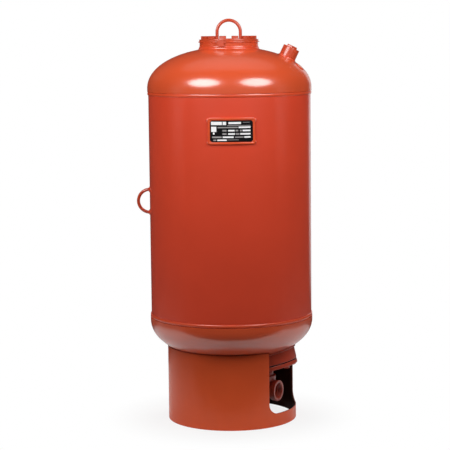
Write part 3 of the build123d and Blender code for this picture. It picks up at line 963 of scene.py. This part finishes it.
@dataclass
class Neck:
    """Neck on the top head, closed by a cover under a castellated locking ring.

    Attributes:
        fillet: Distance from the neck to its weld's toe.
        weld: Corners of the weld, as (distance out, distance up, rounding) from that toe.
        hanger_depth: Depth of the hole for the hanger, with the tool's overrun.
        notch: Width of a notch in the locking ring, and its depth from the ring's top.
        notch_tool: Reach, height and corner rounding of the tool that cuts a notch.
        stop_size: Width, height and depth of the lug beside the ring.
    """

    vessel: Vessel
    radius: float = 109.55
    bore: float = 101.35
    ledge_bore: float = 90.0
    rim_radius: float = 114.4
    rim: float = 3.5
    foot_z: float = 1381.0
    top_z: float = 1431.5
    ledge_z: float = 1398.5
    fillet: float = 10.0
    weld: tuple[Corner, ...] = (
        (-11.0, -6.0, 0), (1.0, -3.0, 0), (-3.0, 0.6, 3.0), (-6.4, 3.6, 1.8), (-7.0, 7.6, 1.8),
        (-9.4, 11.0, 2.2), (-10.2, 15.0, 0), (-11.0, 15.0, 0),
    )
    seal: float = 4.0
    cover_radius: float = 100.85
    cover_flange: float = 10.0
    crown_radius: float = 84.0
    crown: float = 35.0
    hanger_hole: float = 8.1
    hanger_depth: float = 15.5
    rod_radius: float = 6.0
    rod_bend: float = 43.6
    rod_leg: float = 29.0
    ring_bore: float = 86.0
    ring_thread: float = 101.25
    ring_flange: float = 110.8
    ring_crown: float = 104.0
    ring_rise: float = 7.7
    crown_rise: float = 20.1
    notches: int = 14
    notch: tuple[float, float] = (20.6, 9.9)
    notch_tool: Corner = (40.0, 20.0, 2.0)
    stop_azimuth: float = -15.0
    stop_size: Corner = (25.0, 27.0, 3.8)
    stop_corner: float = 4.0

    def build_neck(self) -> None:
        """Builds and dresses the neck and the weld at its foot."""
        neck = Form().turned([
            (self.ledge_bore, self.foot_z, 0),
            (self.radius, self.foot_z, 0),
            (self.radius, self.top_z - self.rim, 1.0),
            (self.rim_radius, self.top_z - self.rim, 1.2),
            (self.rim_radius, self.top_z, 1.2),
            (self.bore, self.top_z, 0.6),
            (self.bore, self.ledge_z, 0),
            (self.ledge_bore, self.ledge_z, 0),
        ])
        neck.piece("neck_forging", SHADED_HEAD_PAINT, ["neck"])
        toe = self.radius + self.fillet
        toe_z = self.vessel.upper_z + self.vessel.drop(toe)
        weld = Form().turned([(toe + out, toe_z + up, size) for out, up, size in self.weld])
        weld.piece("neck_weld", WELD_PAINT)

    def build_cover(self) -> None:
        """Builds and dresses the cover and its lifting ring."""
        cover_z = self.ledge_z + self.seal
        flange_z, crown_z = cover_z + self.cover_flange, cover_z + self.crown
        cover = Form().turned([
            (0, cover_z, 0), (self.cover_radius, cover_z, 0.5), (self.cover_radius, flange_z, 0.8),
            (self.crown_radius, flange_z, 0.8), (self.crown_radius, crown_z, 2.0), (0, crown_z, 0),
        ])
        place = lift(cover_z - OVER)
        socket = Form().prism(COARSE_STEPS, self.hanger_hole, self.hanger_depth, place)
        cover.cut(socket).piece("cover_plate", SHADED_RING_PAINT, ["top_cover"])
        ring = Form().rod(self.rod_radius, self.rod_bend, self.rod_leg, lift(crown_z))
        for way in (-1, 1):
            place = lift(crown_z) @ Matrix.Translation((way * self.rod_bend, 0, 0))
            ring.bead(self.rod_radius + 1.2, 0.8, 5.0, 2.6, place, lean=40.0, pitch=3.0)
        ring.piece("top_lifting_rod", SHADED_RING_PAINT, ["top_lifting_ring"])

    def build_ring(self) -> None:
        """Builds and dresses the locking ring and the stop beside it."""
        foot_z = self.ledge_z + self.seal + self.cover_flange
        flange_z, crown_z = self.top_z + self.ring_rise, self.top_z + self.crown_rise
        ring = Form().turned([
            (self.ring_bore, foot_z, 0), (self.ring_thread, foot_z, 0),
            (self.ring_thread, self.top_z, 0), (self.ring_flange, self.top_z, 0.8),
            (self.ring_flange, flange_z, 1.4), (self.ring_crown, flange_z, 0.8),
            (self.ring_crown, crown_z, 0), (self.ring_bore, crown_z, 0),
        ])
        slots = Form()
        width, depth = self.notch
        middle = (self.ring_bore + self.ring_crown) / 2
        for notch in range(self.notches):
            turn = 360 * notch / self.notches
            place = stand(compass(turn) * middle + UP * (crown_z - depth), across(turn), UP)
            slots.slab(width, *self.notch_tool, place)
        ring.cut(slots).piece("locking_ring_casting", SHADED_RING_PAINT, ["locking_ring"], edge=1.2)
        stop = Form().slab(
            *self.stop_size, self.stop_corner,
            wall(self.stop_azimuth, self.rim_radius - OVER, flange_z - self.stop_size[1] / 2),
        )
        stop.piece("ring_stop_lug", SHADED_RING_PAINT, ["ring_stop"], edge=1.0)

    def build(self) -> None:
        """Builds and dresses all that stands on the top of the tank."""
        self.build_neck()
        self.build_cover()
        self.build_ring()


@dataclass
class SideRing:
    """Lifting ring welded to the shell's left side."""

    vessel: Vessel
    height: float = 834.3
    azimuth: float = -90.0
    rod_radius: float = 6.0
    bend: float = 43.6
    leg: float = 26.0
    blob: Corner = (11.0, 9.5, 4.5)

    def foot(self, out: float, up: float = 0.0) -> Matrix:
        """Place out from the shell's side and up from the ring's middle, with its X axis up."""
        way = compass(self.azimuth)
        return stand(way * (self.vessel.radius + out) + UP * (self.height + up), UP, way)

    def build(self) -> None:
        """Builds and dresses the ring and the weld at its feet."""
        ring = Form().rod(self.rod_radius, self.bend, self.leg, self.foot(-self.leg))
        ring.piece("side_lifting_rod", SHADED_RING_PAINT, ["side_lifting_ring"])
        weld = Form()
        for way in (-1, 1):
            weld.blob(Vector(self.blob), self.foot(0.5, way * self.bend), 3 + way)
        weld.piece("side_ring_weld", WELD_PAINT)


@dataclass
class Fittings:
    """Charging coupling with its plug, and the plugged boss on the shoulder."""

    vessel: Vessel
    coupling_azimuth: float = 90.0
    coupling_radius: float = 218.0
    coupling_outside: float = 31.75
    coupling_bore: float = 22.3
    coupling_length: float = 40.0
    coupling_floor: float = 1.0
    coupling_reach: float = 8.0
    valve_hole: float = 4.9
    plug_flats: float = 19.0
    plug_head: float = 7.5
    plug_outside: float = 22.2
    plug_inside: float = 17.3
    plug_depth: float = 16.0
    boss_azimuth: float = 76.0
    boss_radius: float = 270.0
    boss_outside: float = 15.5
    boss_bore: float = 10.5
    boss_rise: float = 3.0
    boss_reach: float = 7.0
    boss_plug: float = 10.4
    boss_plug_depth: float = 8.0
    recess: float = 9.5
    recess_depth: float = 7.0

    def build_coupling(self) -> None:
        """Builds and dresses the coupling and its plug."""
        place = self.vessel.seat(self.coupling_azimuth, self.coupling_radius)
        coupling = Form().turned([
            (self.valve_hole, -self.coupling_reach, 0),
            (self.coupling_outside, -self.coupling_reach, 0),
            (self.coupling_outside, self.coupling_length, 2.4),
            (self.coupling_bore, self.coupling_length, 0.8),
            (self.coupling_bore, self.coupling_floor, 0),
            (self.valve_hole, self.coupling_floor, 0),
        ], place, COARSE_STEPS)
        coupling.piece("charging_coupling_body", SHADED_RING_PAINT, ["charging_coupling"])
        weld = Form().bead(
            self.coupling_outside + 0.6, 0.6, 6.4, 2.8, place, lean=35.0, pitch=7.0,
            dip=self.vessel.dip(place),
        )
        weld.piece("charging_coupling_weld", WELD_PAINT)
        top = place @ lift(self.coupling_length)
        plug = Form().prism(6, self.plug_flats, self.plug_head, top, edge=1.8)
        plug.turned([
            (self.plug_inside, -self.plug_depth, 0), (self.plug_outside, -self.plug_depth, 1.0),
            (self.plug_outside, 0.4, 0), (self.plug_inside, 0.4, 0),
        ], top, COARSE_STEPS)
        plug.piece("charging_plug_body", SHADED_RING_PAINT, ["charging_plug"])

    def build_boss(self) -> None:
        """Builds and dresses the boss and its plug."""
        place = self.vessel.seat(self.boss_azimuth, self.boss_radius)
        boss = Form().turned([
            (self.boss_bore, -self.boss_reach, 0), (self.boss_outside, -self.boss_reach, 0),
            (self.boss_outside, self.boss_rise, 1.2), (self.boss_bore, self.boss_rise, 0.8),
        ], place, COARSE_STEPS)
        boss.piece("shoulder_boss_body", SHADED_RING_PAINT, ["shoulder_boss"])
        weld = Form().bead(
            self.boss_outside + 0.5, 0.2, 4.5, 2.0, place, lean=35.0, dip=self.vessel.dip(place)
        )
        weld.piece("shoulder_boss_weld", WELD_PAINT)
        plug = Form().turned([
            (0, -self.boss_plug_depth, 0), (self.boss_plug, -self.boss_plug_depth, 0),
            (self.boss_plug, self.boss_rise, 1.0), (0, self.boss_rise, 0),
        ], place, COARSE_STEPS)
        floor = place @ lift(self.boss_rise - self.recess_depth)
        plug.cut(Form().slab(self.recess, self.recess, 20.0, 0.8, floor))
        plug.piece("shoulder_plug_body", PLUG_PAINT, ["shoulder_plug"], Slot.PLUG, edge=0.4)

    def build(self) -> None:
        """Builds and dresses the top head's fittings."""
        self.build_coupling()
        self.build_boss()


@dataclass
class Nameplate:
    """Pressed pan on the shell's front, and the printed plate that lies in it.

    Attributes:
        pan_gap: Gap between the shell and the pan.
        flank: Height of the pan's upright edge.
        pan_steps: Rise and inset of each step from the flank to the pan's floor.
        tacks: Weld tacks, as (side, share of the pan's height, half height).
        tack_width: Half width of a tack.
        tack_proud: How far a tack stands out.
        white_bars: Bars of white print, as (left, right, bottom, top) from the plate's middle.
        grey_bars: Bars of grey print.
    """

    vessel: Vessel
    azimuth: float = 1.2
    height: float = 1114.0
    pan_width: float = 171.0
    pan_height: float = 96.0
    pan_corner: float = 8.0
    pan_gap: float = 0.1
    flank: float = 4.4
    pan_steps: tuple[tuple[float, float], ...] = (
        (1.6, 0.7), (0.6, 1.6), (0.0, 4.4), (-0.5, 0.8), (-0.9, 1.0),
    )
    tacks: tuple[Corner, ...] = (
        (-1, 0.40, 6.5), (1, 0.40, 6.5), (-1, -0.44, 4.5), (1, -0.42, 5.0),
    )
    tack_width: float = 4.2
    tack_proud: float = 3.6
    plate_width: float = 155.0
    plate_height: float = 77.5
    plate_corner: float = 6.0
    plate_sheet: float = 0.8
    ink: float = 0.12
    white_bars: tuple[Bar, ...] = (
        (-73.8, -34.5, 22.3, 34.0), (-31.6, -19.2, 22.3, 34.0), (-10.9, 34.0, 25.4, 32.8),
        (-73.4, -54.5, -2.3, 16.2), (-67.0, -61.2, -11.6, -4.2), (25.4, 68.9, 10.9, 16.5),
        (-12.3, 10.9, -0.8, 4.8), (39.9, 68.9, -0.8, 4.8), (-12.3, 12.3, -12.8, -7.2),
        (31.2, 68.9, -12.8, -7.2), (-32.0, 7.4, -24.2, -18.6), (45.7, 68.9, -24.2, -18.6),
        (-51.5, -17.5, -34.7, -29.4),
    )
    grey_bars: tuple[Bar, ...] = (
        (41.3, 66.0, 30.6, 32.2), (-15.2, 68.9, 18.9, 21.1), (-50.0, 22.5, 11.2, 15.2),
        (-32.6, -18.1, -0.8, 4.8), (14.4, 23.9, -0.8, 4.8), (30.3, 37.0, -0.8, 4.8),
        (-32.6, -18.1, -12.8, -7.2), (15.2, 28.3, -12.8, -7.2), (-70.3, -35.5, -24.2, -18.6),
        (12.3, 42.8, -23.6, -19.3), (-66.0, -55.2, -34.3, -30.0), (-15.2, 25.4, -31.9, -30.3),
    )

    def build_pan(self) -> None:
        """Builds and dresses the pan and the tacks that hold it."""
        part = blank(self.pan_width, self.pan_height, self.pan_corner)
        face = only(Face, raise_faces(part, part.faces[:], UP * self.flank))
        for rise, inset in self.pan_steps:
            bmesh.ops.inset_region(part, faces=face, thickness=inset, use_even_offset=True)
            lifted = {vert for item in face for vert in item.verts}
            bmesh.ops.translate(part, verts=list(lifted), vec=UP * rise)
        place = wall(self.azimuth, 0, self.height)
        pan = Form().take(part).wrap(self.vessel.radius + self.pan_gap, place)
        pan.piece("nameplate_pan_pressing", TRIM_PAINT, ["nameplate_pan"], crease=40.0)
        tacks = Form()
        for seed, (side, level, size) in enumerate(self.tacks):
            turn = self.azimuth + side * degrees((self.pan_width / 2 + 1.0) / self.vessel.radius)
            spot = wall(turn, self.vessel.radius + 0.8, self.height + level * self.pan_height)
            tacks.blob(Vector((self.tack_width, size, self.tack_proud)), spot, seed)
        tacks.piece("nameplate_tacks", WELD_PAINT)

    def build_plate(self) -> None:
        """Builds and dresses the plate and its print: plain bars, with no words."""
        place = wall(self.azimuth, 0, self.height)
        pan_floor = self.flank + sum(rise for rise, _ in self.pan_steps)
        base = self.vessel.radius + self.pan_gap + pan_floor
        plate = Form().slab(
            self.plate_width, self.plate_height, self.plate_sheet, self.plate_corner, steps=1
        )
        plate.wrap(base, place)
        plate.piece("nameplate_sheet", LABEL_BLACK, ["nameplate"], Slot.LABEL)
        for name, finish, bars in (
            ("nameplate_print_white", PRINT_WHITE, self.white_bars),
            ("nameplate_print_grey", PRINT_GREY, self.grey_bars),
        ):
            ink = Form()
            for left, right, bottom, top in bars:
                middle = Matrix.Translation(((left + right) / 2, (bottom + top) / 2, 0))
                ink.slab(right - left, top - bottom, self.ink, 0.4, middle)
            ink.wrap(base + self.plate_sheet, place).piece(name, finish, slot=Slot.LABEL)

    def build(self) -> None:
        """Builds and dresses the pan, the plate and its print."""
        self.build_pan()
        self.build_plate()


@dataclass
class Mouth:
    """Bolted mouth of the bladder on the bottom head.

    Attributes:
        lip: Thickness of the bladder's lip between the flange and the cover.
        shank_over: How far a shank runs into its bolt's head.
        drill_over: How far the bolts' drills run past what they pierce.
        drill_under: How far they start below the cover.
        pipe_gap: Gap between the pipe and its hole.
        pipe_drill: Start of the tool for that hole above the elbow's corner, and its length.
    """

    vessel: Vessel
    azimuth: float = 70.0
    radius: float = 135.0
    outside: float = 114.3
    bore: float = 76.2
    flange: float = 32.0
    flange_reach: float = 20.0
    lip: float = 3.0
    plate: float = 15.0
    bolts: int = 8
    bolt_circle: float = 95.0
    bolt_hole: float = 6.45
    bolt_hole_depth: float = 24.0
    cover_hole: float = 6.95
    bolt_flats: float = 9.5
    bolt_head: float = 8.0
    bolt_shank: float = 6.35
    bolt_length: float = 38.0
    shank_over: float = 0.5
    drill_over: float = 16.0
    drill_under: float = 5.0
    pipe_radius: float = 30.15
    pipe_gap: float = 0.1
    pipe_drill: tuple[float, float] = (20.0, 200.0)

    def seat(self, rise: float = 0.0) -> Matrix:
        """Place at the mouth, raised along its normal."""
        return self.vessel.seat(self.azimuth, self.radius, upper=False) @ lift(rise)

    def bars(self, radius: float, foot: float, top: float, heads: bool = False) -> Form:
        """Round bars at the bolts' places: shanks, or the tools that drill their holes.

        Args:
            radius: Radius of the bars.
            foot: Height above the head at which they start.
            top: Height at which they end.
            heads: Whether each has a bolt's head on it.

        Returns:
            The bars.
        """
        bars = Form()
        out = Matrix.Translation((self.bolt_circle, 0, 0))
        for bolt in range(self.bolts):
            turn = Matrix.Rotation(FULL_TURN * (bolt + 0.5) / self.bolts, 4, "Z")
            if heads:
                head_foot = self.seat(self.flange + self.lip + self.plate) @ turn @ out
                bars.prism(6, self.bolt_flats, self.bolt_head, head_foot, edge=1.2)
            bars.prism(HOLE_STEPS, radius, top - foot, self.seat(foot) @ turn @ out)
        return bars

    def build(self, pipe_axis: Vector) -> None:
        """Builds and dresses the flange, the cover and the bolts.

        Args:
            pipe_axis: A point on the water pipe's axis.
        """
        flange = Form().turned([
            (self.bore, -self.flange_reach, 0), (self.outside, -self.flange_reach, 0),
            (self.outside, self.flange, 3.4), (self.bore, self.flange, 0.5),
        ], self.seat(), COARSE_STEPS * 2)
        drills = self.bars(
            self.bolt_hole, self.flange - self.bolt_hole_depth, self.flange + self.drill_over
        )
        flange.cut(drills)
        flange.piece("mouth_flange_body", SHADED_UNDER_PAINT, ["mouth_flange"])
        weld = Form().bead(
            self.outside + 1.0, 1.0, 9.0, 4.5, self.seat(), lean=30.0, pitch=6.0,
            dip=self.vessel.dip(self.seat(), upper=False),
        )
        weld.piece("mouth_flange_weld", SHADED_UNDER_PAINT)
        cover_foot = self.flange + self.lip
        cover = Form().turned([
            (0, 0, 0), (self.outside, 0, 3.0), (self.outside, self.plate, 3.0), (0, self.plate, 0),
        ], self.seat(cover_foot), COARSE_STEPS * 2)
        top = cover_foot + self.plate
        drills = self.bars(
            self.cover_hole, cover_foot - self.drill_under, top + self.drill_over
        )
        rise, length = self.pipe_drill
        pipe = Matrix.Translation(pipe_axis + UP * rise)
        cover.cut(drills.prism(COARSE_STEPS, self.pipe_radius + self.pipe_gap, length, pipe))
        cover.piece("mouth_cover_plate", SHADED_UNDER_PAINT, ["mouth_cover"])
        bolts = self.bars(
            self.bolt_shank, top - self.bolt_length, top + self.shank_over, heads=True
        )
        bolts.piece("mouth_bolt_set", SHADED_UNDER_PAINT, ["mouth_bolts"])


@dataclass
class Plumbing:
    """Water pipe and the cast elbow below it.

    Attributes:
        reach: Distance from the elbow's corner to each of its ends.
        band: Height of the band at each socket.
        band_round: Rounding of the band's edge at the body.
        end_round: Rounding of its edge at the end.
        draft: How much narrower the band is at the body than at the end.
        bend: Radius of the centre line's bend.
        bend_steps: Steps in that bend.
        socket: Depth of a socket.
        waterway: Radius of the waterway.
        tooth_root: How far the thread's roots lie outside the pipe's radius.
        tooth_tip: How far its tips lie inside it.
    """

    mouth: Mouth
    azimuth: float = 61.0
    height: float = 112.0
    reach: float = 57.0
    band: float = 22.0
    band_radius: float = 40.0
    body_radius: float = 33.0
    band_round: float = 2.5
    end_round: float = 2.2
    draft: float = 1.0
    bend: float = 35.0
    bend_steps: int = 24
    socket: float = 20.0
    waterway: float = 26.0
    teeth: int = 9
    tooth_root: float = 0.9
    tooth_tip: float = 0.5
    pipe_wall: float = 3.9
    pipe_top: float = 270.0

    def corner(self) -> Vector:
        """Where the elbow's two axes meet."""
        return compass(self.mouth.azimuth) * self.mouth.radius + UP * self.height

    def end_section(self) -> list[tuple[float, float]]:
        """Draws the section of one end: over its band, and back down its thread.

        Returns:
            Spots as (distance from the centre line, distance from the elbow's corner).
        """
        foot, outside = self.reach - self.socket, self.mouth.pipe_radius
        root, tip = outside + self.tooth_root, outside - self.tooth_tip
        pitch = self.socket / self.teeth
        band_foot = max(self.reach - self.band, self.bend)
        spots = [
            (self.body_radius, band_foot),
            *arc((self.body_radius, band_foot), (self.band_radius - self.draft, band_foot),
                 (self.band_radius, self.reach), self.band_round),
            *arc((self.band_radius - self.draft, band_foot), (self.band_radius, self.reach),
                 (root, self.reach), self.end_round),
            (root, self.reach),
        ]
        for tooth in reversed(range(self.teeth)):
            spots.append((root, foot + (tooth + 0.5) * pitch))
            spots.append((tip, foot + tooth * pitch))
        return [*spots, (self.waterway, foot), (self.waterway, self.bend)]

    def casting(self) -> Form:
        """Sweeps the elbow's skins, outside and inside, along its centre line.

        Returns:
            The elbow, with its inlet up and its outlet along the local X axis.
        """
        section = self.end_section()
        turns = [pi / 2 * step / self.bend_steps for step in range(1, self.bend_steps)]
        stations = [(0.0, radius, out) for radius, out in section]
        stations += [(turn, self.waterway, self.bend) for turn in turns]
        stations += [
            (pi / 2, radius, 2 * self.bend - out) for radius, out in reversed(section)
        ]
        stations += [(turn, self.body_radius, self.bend) for turn in reversed(turns)]
        part = bmesh.new()
        hinge = Matrix.Translation((self.bend, 0, self.bend))
        rings = []
        for turn, radius, height in stations:
            place = hinge @ Matrix.Rotation(-turn, 4, "Y") @ hinge.inverted() @ lift(height)
            rings.append([
                part.verts.new(place @ Vector((radius * cos(way), radius * sin(way), 0)))
                for way in (FULL_TURN * step / COARSE_STEPS for step in range(COARSE_STEPS))
            ])
        for ring, following in zip(rings, [*rings[1:], rings[0]]):
            for step in range(COARSE_STEPS):
                part.faces.new((ring[step - 1], ring[step], following[step], following[step - 1]))
        return Form().take(part)

    def build(self) -> None:
        """Builds and dresses the pipe and the elbow."""
        corner, outside = self.corner(), self.mouth.pipe_radius
        foot = self.height + self.reach - self.socket
        pipe = Form().turned(
            tube(outside - self.pipe_wall, outside, foot, self.pipe_top),
            Matrix.Translation((corner.x, corner.y, 0)), COARSE_STEPS,
        )
        pipe.piece("water_pipe_tube", SHADED_UNDER_PAINT, ["water_pipe"])
        elbow = self.casting()
        place = stand(corner, compass(self.azimuth), UP)
        bmesh.ops.transform(elbow.mesh, matrix=place, verts=elbow.mesh.verts)
        elbow.piece("elbow_casting", SHADED_CAST_PAINT, ["elbow"], Slot.CAST, crease=40.0)


@dataclass
class Inside:
    """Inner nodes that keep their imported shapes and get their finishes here."""

    finishes: dict[str, Finish] = field(default_factory=lambda: {
        "cover_seal": RUBBER,
        "bladder": RUBBER,
        "bladder_hanger": STEEL,
        "hanger_nut": STEEL,
        "air_valve": BRASS,
        "valve_cap": PLASTIC,
    })

    def build(self) -> None:
        """Dresses the inner nodes."""
        for name, finish in self.finishes.items():
            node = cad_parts[name]
            for slot in node.material_slots:
                slot.material = finish.material()
            if not node.material_slots:
                node.data.materials.append(finish.material())
            log.info("%s: %s", name, finish.name)


@dataclass(frozen=True)
class Softbox:
    """A soft light that faces the tank's middle, in metres.

    Attributes:
        name: Name of the light.
        azimuth: Azimuth that it hangs at.
        away: Its level distance from the tank's axis.
        height: Its height.
        size: Its width and height.
        power: Its power in watts.
        mirrored: Whether glossy paint shows its reflection.
    """

    name: str
    azimuth: float
    away: float
    height: float
    size: tuple[float, float]
    power: float
    mirrored: bool = True

    def hang(self) -> None:
        """Hangs the light in the scene."""
        data = bpy.data.lights.new(self.name, "AREA")
        data.shape = "ELLIPSE"
        data.size, data.size_y = self.size
        data.energy = self.power
        light = bpy.data.objects.new(self.name, data)
        spot = compass(self.azimuth) * self.away + UP * self.height
        turn = (UP - spot).to_track_quat("-Z", "Y").to_matrix().to_4x4()
        light.matrix_world = Matrix.Translation(spot) @ turn
        light.visible_camera = False
        light.visible_glossy = self.mirrored
        bpy.context.scene.collection.objects.link(light)


LIGHTS = (
    Softbox("left light", -36.0, 1.6, 2.1, (1.26, 1.0), 20.0),
    Softbox("right light", 38.0, 1.6, 2.1, (1.26, 1.0), 18.0),
    Softbox("ceiling panel", 180.0, 0.6, 3.4, (3.0, 2.0), 3.1),
    Softbox("right card", 155.0, 3.0, 1.2, (0.8, 2.5), 4.0),
    Softbox("top fill", 180.0, 0.4, 2.7, (1.2, 0.8), 10.5, mirrored=False),
    Softbox("front fill", 0.0, 1.1, 1.3, (2.4, 0.3), 2.8, mirrored=False),
    Softbox("left side fill", -70.0, 1.8, 1.3, (0.6, 0.8), 5.4, mirrored=False),
    Softbox("left back fill", -140.0, 2.6, 2.2, (1.5, 1.5), 44.0, mirrored=False),
    Softbox("right side fill", 70.0, 1.8, 1.3, (0.6, 0.8), 5.4, mirrored=False),
    Softbox("right back fill", 140.0, 2.6, 2.2, (1.5, 1.5), 44.0, mirrored=False),
)


@dataclass
class Studio:
    """Camera, floor, world and lights, in metres and degrees.

    Attributes:
        floor_size: Width and depth of the floor.
        floor_back: How far behind the tank's axis the floor's middle lies.
        floor_grey: Brightness of the floor.
        fade: Distances from the axis between which the floor turns white to the camera.
        fade_start: How white it already is at the nearer one.
        room_fill: Strength of the room's own light.
    """

    lens: float = 127.97
    sensor: float = 36.0
    distance: float = 6.0298
    height: float = 1.4714
    pitch: float = 6.928
    yaw: float = 0.204
    roll: float = 0.601
    floor_size: tuple[float, float] = (3.6, 1.55)
    floor_back: float = 0.225
    floor_grey: float = 0.64
    fade: tuple[float, float] = (0.25, 0.52)
    fade_start: float = 0.82
    room_fill: float = 0.03

    def camera(self) -> None:
        """Sets the camera at the photograph's viewing angle."""
        data = bpy.data.cameras.new("camera")
        data.lens = self.lens
        data.sensor_width = data.sensor_height = self.sensor
        data.clip_end = 100.0
        view = bpy.data.objects.new("camera", data)
        view.matrix_world = (
            Matrix.Translation((0, -self.distance, self.height))
            @ Matrix.Rotation(radians(self.yaw), 4, "Z")
            @ Matrix.Rotation(radians(90 - self.pitch), 4, "X")
            @ Matrix.Rotation(radians(-self.roll), 4, "Z")
        )
        bpy.context.scene.collection.objects.link(view)
        bpy.context.scene.camera = view

    def floor(self) -> None:
        """Lays a pale floor that keeps the tank's shadow and looks white further out."""
        part = blank(*self.floor_size)
        bmesh.ops.translate(part, verts=part.verts, vec=(0, self.floor_back, -0.5 * MM))
        form = Form().take(part)
        for face in form.mesh.faces:
            if face.normal.z < 0:
                face.normal_flip()
        floor = form.object("floor")
        material = bpy.data.materials.new("pale floor")
        nodes = Nodes(material)
        matt = material.node_tree.nodes["Principled BSDF"]
        nodes.feed(matt, {"Base Color": (*[self.floor_grey] * 3, 1.0), "Roughness": 0.9})
        spot = nodes.add("ShaderNodeTexCoord", "Object")
        fade = nodes.add("ShaderNodeMapRange", "Result", {
            "Value": nodes.add("ShaderNodeVectorMath", "Value", {0: spot}, operation="LENGTH"),
            "From Min": self.fade[0],
            "From Max": self.fade[1],
            "To Min": self.fade_start,
        }, interpolation_type="SMOOTHSTEP")
        share = nodes.add("ShaderNodeMath", "Value", {
            0: nodes.add("ShaderNodeLightPath", "Is Camera Ray"), 1: fade,
        }, operation="MULTIPLY")
        glow = nodes.add("ShaderNodeEmission", "Emission", {"Strength": 1.0})
        nodes.show("Material Output", share, matt.outputs["BSDF"], glow)
        floor.data.materials.append(material)

    def world(self) -> None:
        """Gives the room a plain fill, white where the camera sees it."""
        world = bpy.data.worlds.new("room")
        bpy.context.scene.world = world
        nodes = Nodes(world)
        white = (1.0, 1.0, 1.0, 1.0)
        fill = world.node_tree.nodes["Background"]
        nodes.feed(fill, {"Color": white, "Strength": self.room_fill})
        seen = nodes.add("ShaderNodeBackground", "Background", {"Color": white, "Strength": 1.0})
        camera = nodes.add("ShaderNodeLightPath", "Is Camera Ray")
        nodes.show("World Output", camera, fill.outputs["Background"], seen)

    def build(self) -> None:
        """Sets up the camera, the floor and the light."""
        bpy.context.scene.view_settings.view_transform = "Standard"
        self.camera()
        self.floor()
        self.world()
        for light in LIGHTS:
            light.hang()


def main() -> None:
    """Builds the studio and every piece of the tank, in order."""
    logging.basicConfig(level=logging.INFO, format="%(relativeCreated)6d %(message)s")
    Studio().build()
    vessel = Vessel()
    vessel.build()
    Skirt(vessel).build()
    Neck(vessel).build()
    SideRing(vessel).build()
    Fittings(vessel).build()
    Nameplate(vessel).build()
    mouth = Mouth(vessel)
    plumbing = Plumbing(mouth)
    mouth.build(plumbing.corner())
    plumbing.build()
    Inside().build()


if __name__ == "__main__":
    main()
